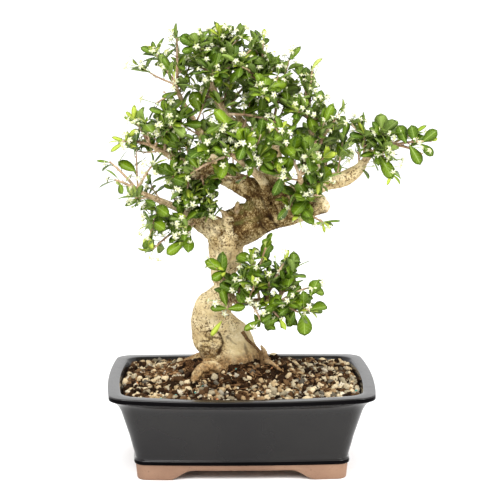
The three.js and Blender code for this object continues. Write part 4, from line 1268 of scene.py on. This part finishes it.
rng = np.random.default_rng(5)
twig_lines, spurs = {}, {}
for bough, tips in SPRAY_TIPS.items():
    route = BOUGHS[bough]
    named = [(twig_start(route, tip[:3]), tip[:3], tip[3]) for tip in tips] + STRAYS.get(bough, [])
    long_ones = [(arched(start, tip, SPRAY_POINTS), share) for start, tip, share in named]
    short_ones = [] if bough in BARE_BOUGHS else fill_lines(rng, route, FIRST_FILL.get(bough, 0.3))
    if bough in TWIGGY_LIMBS:
        limb, lift = TWIGGY_LIMBS[bough]
        short_ones += fill_lines(rng, LIMBS[limb], 0.45, lift)
    twig_lines[bough] = [line for line, _ in long_ones] + short_ones
    fill_share = FILL_SHARES.get(bough, FILL_SHARE)
    spurs[bough] = np.concatenate(
        [spurs_of(rng, line, SPRAY_SPURS, 0.2, share) for line, share in long_ones]
        + [spurs_of(rng, line, FILL_SPURS, 0.3, fill_share) for line in short_ones]
    )
print("twigs on each bough:", {bough: len(lines) for bough, lines in twig_lines.items()})

# %% [markdown]
# ## The leaf
#
# A Fukien tea leaf is a small spoon: narrow at the base, widest near its rounded tip, with a few
# blunt teeth there, glossy and dark above, dull and grey-green below, and folded a little along its
# midrib. With thousands of them the shape must stay small. Two strips of faces run from the midrib
# to a toothed rim, on each side, and both sides share the rim, so a leaf is closed with 62
# triangles.

# %% Shape of one leaf
# (share of the length, half width) along one edge; the teeth are the small steps near the tip.
LEAF_EDGE = np.array([
    (0, 0.02), (0.2, 0.10), (0.4, 0.21), (0.58, 0.275), (0.74, 0.285), (0.79, 0.265), (0.89, 0.205),
    (0.925, 0.15),
])
LEAF_THICKNESS = 0.35
LEAVES_A_SPUR = 4
FULLNESS = 0.62


def leaf_shape():
    """Flat leaf of length 1: (across, along), lift sign, both sides' faces, and texture places."""
    along, half = LEAF_EDGE.T
    rows = len(along)
    here = np.arange(rows - 1)
    left, right, above, below = (first + here for first in (0, rows, 2 * rows, 3 * rows))
    tip = 4 * rows
    flat = np.concatenate([
        np.column_stack([-half, along]), np.column_stack([half, along]),
        np.column_stack([0 * half, along]), np.column_stack([0 * half, along]), [[0, 1]],
    ])
    lift = np.concatenate([np.zeros(2 * rows), np.full(rows, 0.5), np.full(rows, -0.5), [0]])
    ends = [(tip, above[-1] + 1, left[-1] + 1), (tip, right[-1] + 1, above[-1] + 1),
            (tip, left[-1] + 1, below[-1] + 1), (tip, below[-1] + 1, right[-1] + 1),
            (left[0], above[0], below[0]), (above[0], right[0], below[0])]
    quads = [
        np.column_stack([left, above, above + 1, left + 1]),
        np.column_stack([above, right, right + 1, above + 1]),
        np.column_stack([left, left + 1, below + 1, below]),
        np.column_stack([below, below + 1, right + 1, right]),
    ]
    kinds = np.repeat([0, 0, 1, 1], rows - 1), np.array([0, 0, 1, 1, 1, 1])
    uv = np.column_stack([0.5 + flat[:, 0], flat[:, 1]])
    return flat, lift, np.concatenate(quads), np.array(ends), kinds, uv


FLAT_LEAF, LEAF_LIFT, LEAF_QUADS, LEAF_ENDS, LEAF_KINDS, LEAF_UV = leaf_shape()
LEAF_PROBES = [4, len(LEAF_EDGE) + 4, len(FLAT_LEAF) - 1]
print("leaf:", len(FLAT_LEAF), "points,", 2 * len(LEAF_QUADS) + len(LEAF_ENDS), "triangles")


def leaf_points(roots, ways, lengths, faces, width, fold, droop, waist):
    """Leaves (leaf, point, xyz): root + along * way + across * side + rise * up, where rise is
    fold * |across| - droop * along^2 / 2, all but the thickness times the leaf's length. A waist
    over 1 draws the widest place, along^waist, nearer to the leaf's middle."""
    face_up = unit(faces - np.sum(faces * ways, 1, keepdims=True) * ways)
    side = np.cross(ways, face_up)
    across, along = FLAT_LEAF.T
    across = across * width[:, None]
    along = along ** waist[:, None]
    rise = fold[:, None] * np.abs(across) - droop[:, None] * along**2 / 2
    length = lengths[:, None]
    points = roots[:, None] + (along * length)[..., None] * ways[:, None]
    points = points + (across * length)[..., None] * side[:, None]
    return points + (rise * length + LEAF_THICKNESS * LEAF_LIFT)[..., None] * face_up[:, None]


def rosettes(rng, rows, middle):
    """Leaves of every spur, opened out round its way: their points and whether each is young."""
    rows = np.repeat(rows, LEAVES_A_SPUR, axis=0)
    way, at_tip = rows[:, 6:9], rows[:, 10] == 1
    count = len(rows)
    side, over = across_frames(way)
    turn = np.arange(count) % LEAVES_A_SPUR / LEAVES_A_SPUR * 2 * math.pi
    turn = turn + rng.uniform(-0.6, 0.6, count)
    turn = turn + np.repeat(rng.uniform(0, 6, count // LEAVES_A_SPUR), LEAVES_A_SPUR)
    lean = rng.uniform(0.45, 1.3, count) * np.where(at_tip, 0.6, 1)
    leaf_way = unit(at_angle(lean, way, at_angle(turn, side, over)) + 0.2 * UP)
    young = rng.uniform(0, 1, count) < np.where(at_tip, 0.7, 0.12)
    length = rng.uniform(15.5, 26, count) * np.where(rng.uniform(0, 1, count) < 0.15, 1.2, 1)
    length = length * np.where(young, 0.72, 1)
    faces = UP + 0.6 * unit(rows[:, 3:6] - middle) + 0.45 * rng.normal(size=(count, 3)) + [0, -0.12, 0]
    width = rng.uniform(0.72, 1.24, count) * np.where(young, 0.6, 1)
    fold = rng.uniform(0.02, 0.45, count) + np.where(young, 0.35, 0)
    droop, waist = rng.uniform(-0.1, 0.6, count), rng.uniform(0.95, 1.7, count)
    points = leaf_points(rows[:, 3:6], leaf_way, length, faces, width, fold, droop, waist)
    grown = rng.uniform(0, 1, count) < FULLNESS * rows[:, 9]
    return points[grown], young[grown]


# %% Finishes of the leaves
def leaf_finish(name, dark, light, young, gloss):
    """Green by each leaf's tint, with a pale midrib, faint side veins and tiny pale dots."""
    made = Finish(name, gloss, Specular_IOR_Level=0.22)
    green = made.ramp(made.stored("tint"), (0.0, dark), (0.75, light), (0.86, young), (1.0, young))
    cloudy = made.times(made.speckle(130, 3), 0.35)
    green = made.blend(cloudy, green, (0.55, 0.75, 0.4), "MULTIPLY")
    place = made.node("SeparateXYZ", Vector=made.node("UVMap").outputs["UV"])
    off_middle = made.maths("ABSOLUTE", made.maths("SUBTRACT", place.outputs["X"], 0.5))
    midrib = made.rest(made.band(off_middle, 0.008, 0.03))
    slant = made.maths("SUBTRACT", place.outputs["Y"], made.times(off_middle, 0.7))
    wave = made.maths("SINE", made.times(slant, 44.0))
    veins = made.times(made.band(wave, 0.86, 1.0), 0.3)
    pale = made.maths("MAXIMUM", made.times(midrib, 0.5), veins)
    green = made.blend(pale, green, tuple(0.6 * c + 0.4 * d for c, d in zip(light, (0.5, 0.6, 0.25))))
    dots = made.node("TexVoronoi", Vector=made.object_place, Scale=620.0)
    dots = made.rest(made.band(dots.outputs["Distance"], 0.1, 0.18))
    made.colour(made.blend(made.times(dots, 0.35), green, (0.62, 0.68, 0.5)))
    made.bump(made.rest(pale), 0.0003, 0.5)
    return made


leaf_top = leaf_finish("leaf_upper", (0.046, 0.100, 0.001), (0.20, 0.30, 0.006), (0.42, 0.49, 0.05), 0.42)
leaf_back = leaf_finish("leaf_under", (0.13, 0.195, 0.035), (0.25, 0.34, 0.065), (0.50, 0.56, 0.14), 0.6)

# %% Leaves that stand out of the crown
# Single leaves as (root, tip, width, tint); a tint over 0.8 is a young, yellow-green leaf.
SINGLE_LEAVES = {
    "far_right": [
        ((205, -6, 405), (195, -12, 428), 1.15, 0.16), ((216, -6, 406), (211, -12, 428), 1.1, 0.12),
        ((224, -6, 406), (242, -12, 422), 1.0, 0.2), ((222, -6, 405), (238, -14, 391), 0.95, 0.16),
        ((209, -6, 403), (223, -14, 380), 0.95, 0.25), ((171, -8, 392), (189, -14, 362), 0.85, 0.4),
        ((236, -8, 408), (243, -10, 412), 1.0, 0.95),
    ],
    "low_branch": [
        ((84, -56, 223), (93, -60, 243), 1.25, 0.25), ((76, -56, 203), (78, -62, 174), 1.15, 0.4),
        ((29, -48, 281), (32, -54, 294), 1.5, 0.3), ((-19, -34, 252), (-44, -44, 265), 0.85, 0.55),
        ((-19, -34, 250), (-36, -46, 242), 0.95, 0.35), ((-20, -36, 252), (-28, -42, 256), 0.8, 0.95),
        ((-19, -36, 250), (-24, -44, 246), 0.8, 0.9), ((-18, -46, 208), (-24, -50, 230), 0.8, 0.3),
        ((-18, -46, 206), (-38, -54, 208), 0.75, 0.3), ((-17, -46, 205), (4, -56, 210), 0.8, 0.35),
        ((-24, -44, 190), (-38, -48, 171), 0.5, 0.95), ((47, -50, 206), (69, -58, 187), 0.6, 0.3),
        ((23, -50, 192), (3, -58, 181), 0.65, 0.45), ((24, -50, 191), (42, -58, 182), 0.65, 0.35),
        ((30, -48, 270), (4, -50, 268), 0.3, 0.25), ((70, -46, 222), (56, -54, 205), 0.9, 0.3),
    ],
    "front": [((-11, -90, 428), (-32, -96, 456), 0.7, 0.66)],
    "leader": [
        ((-53, -20, 527), (-74, -28, 538), 1.1, 0.1), ((-52, -22, 524), (-72, -28, 520), 0.8, 0.2),
        ((-25, 4, 538), (-29, 0, 554), 0.6, 0.95), ((-25, 4, 538), (-19, 0, 553), 0.6, 0.9),
        ((-25, 4, 537), (-38, -2, 546), 0.45, 0.85), ((-25, 4, 537), (-10, 0, 546), 0.35, 0.5),
        ((-26, 4, 535), (-24, -6, 550), 0.5, 1.0), ((-24, 4, 534), (-46, -4, 537), 0.4, 0.4),
    ],
    "mid_left": [
        ((-142, -22, 410), (-158, -24, 416), 0.5, 0.9), ((-142, -22, 410), (-160, -26, 398), 0.45, 0.85),
        ((-142, -22, 410), (-128, -26, 426), 0.5, 0.9), ((-142, -22, 410), (-138, -28, 422), 0.5, 1.0),
        ((-141, -24, 409), (-128, -28, 404), 0.45, 0.85),
    ],
    "low_left": [
        ((-160, -14, 383), (-178, -14, 386), 0.35, 0.4), ((-70, -28, 286), (-92, -34, 272), 0.9, 0.6),
    ],
    "under_limb": [
        ((101, -18, 309), (124, -20, 311), 0.25, 0.3), ((101, -18, 309), (90, -22, 306), 0.6, 0.7),
        ((101, -18, 309), (104, -22, 296), 0.5, 0.9), ((101, -18, 310), (112, -22, 302), 0.5, 0.9),
    ],
}
# Gaps in the crown as (x, z, reach, y): leaves and flowers in front of y are left out.
GAPS = [
    (-27, 452, 9, -4), (-34, 474, 8, -2), (8, 440, 8, -16), (-50, 368, 13, -10), (-33, 388, 8, -6),
    (24, 338, 18, -2), (96, 330, 14, 10), (110, 350, 10, 10), (140, 366, 12, 0), (-28, 290, 24, 0),
    (-107, 477, 21, 200), (-136, 388, 9, 200), (-99, 550, 11, 200), (92, 514, 7, 200),
    (-56, 306, 13, 8), (-20, 363, 11, -4), (2, 355, 12, 0),
]


def single_leaves(bough):
    """The named leaves of a bough, which face the front: their points and tints."""
    rows = SINGLE_LEAVES.get(bough, [])
    root, tip = (np.array([row[k] for row in rows], float).reshape(-1, 3) for k in (0, 1))
    width, tint = (np.array([row[k] for row in rows], float) for k in (2, 3))
    length = np.linalg.norm(tip - root, axis=1)
    faces = np.tile([0.15, -1.0, 0.45], (len(rows), 1))
    ways = (tip - root) / np.maximum(length, 1e-6)[:, None]
    even = np.ones(len(rows))
    return leaf_points(root, ways, length, faces, width, 0.15 * even, 0.2 * even, 1.15 * even), tint


def in_gap(places):
    """Whether each place lies in one of the gaps."""
    hidden = np.zeros(len(places), bool)
    for x, z, reach, y in GAPS:
        hidden |= (np.hypot(places[:, 0] - x, places[:, 2] - z) < reach) & (places[:, 1] < y)
    return hidden


# %% Leaves of every bough
def bough_leaves(rng, bough, rows):
    """Points and tints of a bough's leaves that are clear of the gaps, the box's sides and the wood."""
    low = bough == "low_branch"
    points, young = rosettes(rng, rows, LOW_MIDDLE if low else CROWN_MIDDLE)
    young_tint = rng.uniform(0.74, 1, len(young))
    old_tint = (0.46 if low else 0.74) * rng.beta(1.5, 2.0, len(young))
    tint = np.where(young, young_tint, old_tint)
    open_view = ~in_gap(points.mean(1))
    named_points, named_tint = single_leaves(bough)
    points = np.concatenate([points[open_view], named_points])
    tint = np.concatenate([tint[open_view], named_tint])
    inside = ((points > BOX_LOW + 0.3) & (points < BOX_HIGH - 0.3)).all((1, 2))
    _, gap = nearest_wood(points[:, LEAF_PROBES].reshape(-1, 3), WOOD)
    kept = inside & (gap.reshape(len(points), -1).min(1) > 0.5)
    return points[kept], tint[kept]


leaf_total = 0
for bough, rows in spurs.items():
    names = [name for name in SPRAYS if name.rsplit("_spray_", 1)[0] == bough]
    points, tint = bough_leaves(rng, bough, rows)
    count, corners = points.shape[:2]
    make_piece(
        f"{bough}_leaves", points.reshape(-1, 3), copied([LEAF_QUADS, LEAF_ENDS], count, corners),
        "leaf", names, [leaf_top.material, leaf_back.material],
        kinds=np.concatenate([np.tile(kinds, count) for kinds in LEAF_KINDS]),
        uv=np.tile(LEAF_UV, (count, 1)), tint=np.repeat(tint, corners),
    )
    leaf_total += count
print("leaves:", leaf_total)

# %% [markdown]
# ## Flowers and buds
#
# The flowers are white five-pointed stars about a centimetre across with a yellow-green eye, on
# stalks that stand out of the rosettes. One flower is a round grid whose radius swings five times
# between a petal's tip and the gap beside it.

# %% Shape of one flower
FLOWER_CORNERS = 20
FLOWER_ANGLES = np.arange(FLOWER_CORNERS) / FLOWER_CORNERS * 2 * math.pi
PETAL_REACH = np.tile([1.0, 0.82, 0.34, 0.82], 5)
EYE_REACH = 0.30


def flower_shape():
    """Unit flower: a rim ring, an inner ring, a middle above and one below, with its faces."""
    circle = np.stack([np.cos(FLOWER_ANGLES), np.sin(FLOWER_ANGLES)], -1)
    rim = PETAL_REACH[:, None] * circle
    rim_height = np.where(PETAL_REACH > 0.5, 0.12, 0.0)[:, None] - 0.42 * PETAL_REACH[:, None] ** 2
    inner = np.column_stack([EYE_REACH * circle, np.full(FLOWER_CORNERS, 0.12)])
    points = np.concatenate([inner, np.column_stack([rim, rim_height]), [[0, 0, 0.02]], [[0, 0, -0.16]]])
    here = np.arange(FLOWER_CORNERS)
    ahead = (here + 1) % FLOWER_CORNERS
    above, below = (np.full(FLOWER_CORNERS, 2 * FLOWER_CORNERS + k) for k in range(2))
    quads = np.stack([here, here + FLOWER_CORNERS, ahead + FLOWER_CORNERS, ahead], -1)
    fans = np.concatenate([
        np.stack([above, here, ahead], -1),
        np.stack([below, ahead + FLOWER_CORNERS, here + FLOWER_CORNERS], -1),
    ])
    return points, [quads, fans]


def placed(shape, middles, ways, sizes):
    """Copies of a shape (copy, point, xyz) with its z axis along each way."""
    side, over = across_frames(ways)
    basis = np.stack([side, over, ways], axis=1)
    return middles[:, None] + np.einsum("pk,ckj->cpj", shape, basis) * sizes[:, None, None]


# %% Finishes of flowers, eyes and buds
petal = Finish("petal", 0.6, Specular_IOR_Level=0.1)
petal.flecked(
    180, (0.35, (0.52, 0.55, 0.30)), (0.5, (0.68, 0.68, 0.46)), (0.65, (0.78, 0.78, 0.60)), detail=2,
)
petal.bump(petal.speckle(900, 2), 0.0001, 0.4)
eye = Finish("flower_eye", 0.6)
eye.flecked(1500, (0.35, (0.42, 0.46, 0.12)), (0.65, (0.68, 0.66, 0.26)), detail=2)
bud_green = Finish("bud", 0.5)
bud_green.flecked(500, (0.3, (0.42, 0.50, 0.18)), (0.7, (0.72, 0.74, 0.48)), detail=2)

# %% Flowers, eyes, buds and their stalks
FLOWER_RADIUS = 5.2
FLOWERING = 0.5
LOW_FLOWERING = 0.25
OPEN_SHARE = 0.84
BUD_RADIUS = 2.1
spur_rows = np.concatenate([rows[rows[:, 10] == 0] for rows in spurs.values()])
middles = np.concatenate([
    np.tile(LOW_MIDDLE if bough == "low_branch" else CROWN_MIDDLE, ((rows[:, 10] == 0).sum(), 1))
    for bough, rows in spurs.items()
])
flowering = np.where(middles[:, 2] > 300, FLOWERING, LOW_FLOWERING) * (0.3 + 0.7 * spur_rows[:, 9])
picked = np.concatenate([np.flatnonzero(rng.uniform(0, 1, len(spur_rows)) < flowering) for _ in range(2)])
stalk_start = spur_rows[picked, 3:6]
outward = unit(stalk_start - middles[picked])
flower_way = unit(
    spur_rows[picked, 6:9] + 1.1 * outward + 0.5 * rng.normal(size=(len(stalk_start), 3)) + [0, -0.3, 0.2]
)
stalk_end = stalk_start + flower_way * rng.uniform(11, 20, (len(stalk_start), 1))
_, gap = nearest_wood(stalk_end, WOOD)
inside = ((stalk_end > BOX_LOW + 7) & (stalk_end < BOX_HIGH - 7)).all(1)
clear = (gap > 6) & inside & ~in_gap(stalk_end)
flower_way, stalk_start, stalk_end = flower_way[clear], stalk_start[clear], stalk_end[clear]
facing = unit(flower_way + 0.4 * outward[clear] + 0.35 * rng.normal(size=flower_way.shape) + [0, -0.3, 0])
open_now = rng.uniform(0, 1, len(stalk_end)) < OPEN_SHARE


def flower_piece(name, shape, groups, middles, ways, sizes, slot, finish):
    """One piece of many copies of a shape, each set on its place and turned its way."""
    points = placed(shape, middles, ways, sizes)
    faces = copied(groups, len(points), len(shape))
    make_piece(name, points.reshape(-1, 3), faces, slot, SPRAYS, [finish.material])


star, star_faces = flower_shape()
bead, bead_faces = pebble_shape()
bead = bead * [0.7, 0.7, 1]
size = FLOWER_RADIUS * rng.uniform(0.75, 1.12, open_now.sum())
blooms, bloom_ways = stalk_end[open_now], facing[open_now]
flower_piece("flowers", star, star_faces, blooms, bloom_ways, size, "petal", petal)
flower_piece(
    "flower_eyes", bead, bead_faces, blooms + 0.8 * bloom_ways, bloom_ways, 0.25 * size, "petal", eye
)
bud_sizes = np.full((~open_now).sum(), BUD_RADIUS)
flower_piece(
    "buds", bead, bead_faces, stalk_end[~open_now], facing[~open_now], bud_sizes, "leaf", bud_green
)

# %% Twigs, spurs and stalks
twig_bark = Finish("twig_bark", 0.6)
twig_bark.flecked(
    60, (0.36, (0.13, 0.062, 0.028)), (0.5, (0.38, 0.24, 0.13)), (0.64, (0.70, 0.54, 0.36)),
    detail=5, rough=0.7,
)
twig_bark.bump(twig_bark.speckle(900, 3), 0.0003, 0.6)
stalk_green = Finish("stalk_green", 0.55)
stalk_green.flecked(400, (0.3, (0.20, 0.30, 0.06)), (0.7, (0.40, 0.48, 0.15)), detail=2)
twig_parts = []
for rows, thick, sides in ((SPRAY_POINTS, 2.1, 7), (FILL_POINTS, 1.4, 5)):
    lines = np.stack([line for lines in twig_lines.values() for line in lines if len(line) == rows])
    radii = np.tile(np.linspace(thick, 0.5 * thick, rows), (len(lines), 1))
    twig_parts.append(tubes(lines, radii, sides))
share = np.linspace(0, 1, 4)[:, None]
spur_lines = spur_rows[:, None, :3] + share * (spur_rows[:, 3:6] - spur_rows[:, :3])[:, None]
spur_part = tubes(spur_lines, np.tile(np.linspace(0.85, 0.5, 4), (len(spur_lines), 1)), 5)
points, groups = merged([*twig_parts, spur_part])
make_piece("twigs", points, groups, "bark", SPRAYS, [twig_bark.material])
stalk_lines = stalk_start[:, None] + share * (stalk_end - stalk_start)[:, None]
points, groups = tubes(stalk_lines, np.full(stalk_lines.shape[:2], 0.42), 4)
make_piece("flower_stalks", points, groups, "leaf", SPRAYS, [stalk_green.material])

# %% [markdown]
# ## Floor, light and camera
#
# The plant stands on plain white in soft light from all round, with a soft light on each side. The
# room behind the camera is dark, which is why the upright faces of the glaze look black and its
# sloping walls, which mirror the white floor, look grey. On the rim's edge and the bead that black is
# also painted into the glaze. The camera stands far off with a long lens, a little above the rim.

# %% Floor
FLOOR_REACH = 9
mesh = bpy.data.meshes.new("floor")
corners = [(x * FLOOR_REACH, y * FLOOR_REACH, 0) for x, y in ((-1, -1), (1, -1), (1, 1), (-1, 1))]
mesh.from_pydata(corners, [], [(0, 1, 2, 3)])
floor = add_object("floor", mesh)
paper = Finish("white_floor", 0.9, Specular_IOR_Level=0.0)
paper.colour((0.95, 0.95, 0.95, 1))
mesh.materials.append(paper.material)
floor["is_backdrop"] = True

# %% Light
OPEN_STRENGTH = 1.46
DARK_STRENGTH = 0.12
LIGHTS_FACE = 0.25
world = bpy.data.worlds.new("studio")
bpy.context.scene.world = world
world.use_nodes = True
tree = world.node_tree
backdrop = tree.nodes["Background"]
backdrop.inputs["Color"].default_value = (1, 1, 1, 1)


def world_band(value, low, high, start, end):
    """Carries a direction's share from low..high to start..end, held at the ends."""
    band = tree.nodes.new("ShaderNodeMapRange")
    band.interpolation_type = "SMOOTHSTEP"
    tree.links.new(value, band.inputs["Value"])
    for socket, number in zip(("From Min", "From Max", "To Min", "To Max"), (low, high, start, end)):
        band.inputs[socket].default_value = number
    return band.outputs["Result"]


way = tree.nodes.new("ShaderNodeSeparateXYZ")
tree.links.new(tree.nodes.new("ShaderNodeTexCoord").outputs["Generated"], way.inputs["Vector"])
behind_camera = world_band(way.outputs["Y"], -0.75, -0.1, 1, 0)
low_down = world_band(way.outputs["Z"], 0.12, 0.5, 1, 0)
shade = tree.nodes.new("ShaderNodeMath")
shade.operation = "MULTIPLY"
tree.links.new(behind_camera, shade.inputs[0])
tree.links.new(low_down, shade.inputs[1])
strength = world_band(shade.outputs[0], 0, 1, OPEN_STRENGTH, DARK_STRENGTH)
tree.links.new(strength, backdrop.inputs["Strength"])


def softbox(name, place, size, power):
    """A square area light, in metres and watts, that faces the middle of the plant."""
    light = bpy.data.lights.new(name, "AREA")
    light.shape = "RECTANGLE"
    light.size, light.size_y = size
    light.energy = power
    lamp = add_object(name, light)
    target = np.array([POT_MIDDLE[0] / 1000, POT_MIDDLE[1] / 1000, LIGHTS_FACE])
    away = unit(np.array(place, float) - target)
    side = unit(np.cross(UP, away))
    turn = np.column_stack([side, np.cross(away, side), away])
    lamp.matrix_world = Matrix.Translation(place) @ Matrix(turn.tolist()).to_4x4()
    lamp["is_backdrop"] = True


softbox("key", (-0.7, -1.5, 1.5), (1.0, 1.0), 29)
softbox("fill", (1.25, -1.3, 1.5), (0.8, 0.7), 29)

# %% Camera at the photograph's viewing angle
VIEW_TURN = math.radians(-1.17)
VIEW_DROP = math.radians(9.29)
VIEW_DISTANCE = 2196.1
VIEW_HEIGHT = 630.3
VIEW_FOCUS = 1778.2
AXIS_PIXEL = 240.6
FRAME_PIXELS = 500
SENSOR_WIDTH = 36
camera = add_object("camera", bpy.data.cameras.new("camera"))
place = np.array([
    VIEW_DISTANCE * math.sin(VIEW_TURN), -VIEW_DISTANCE * math.cos(VIEW_TURN), VIEW_HEIGHT,
])
camera.location = (place + POT_MIDDLE) / 1000
camera.rotation_euler = (math.pi / 2 - VIEW_DROP, 0, VIEW_TURN)
camera.data.sensor_width = SENSOR_WIDTH
camera.data.lens = SENSOR_WIDTH * VIEW_FOCUS / FRAME_PIXELS
camera.data.shift_x = (FRAME_PIXELS / 2 - AXIS_PIXEL) / FRAME_PIXELS
camera.data.clip_end = 100
bpy.context.scene.camera = camera
bpy.context.scene.view_settings.view_transform = "Standard"
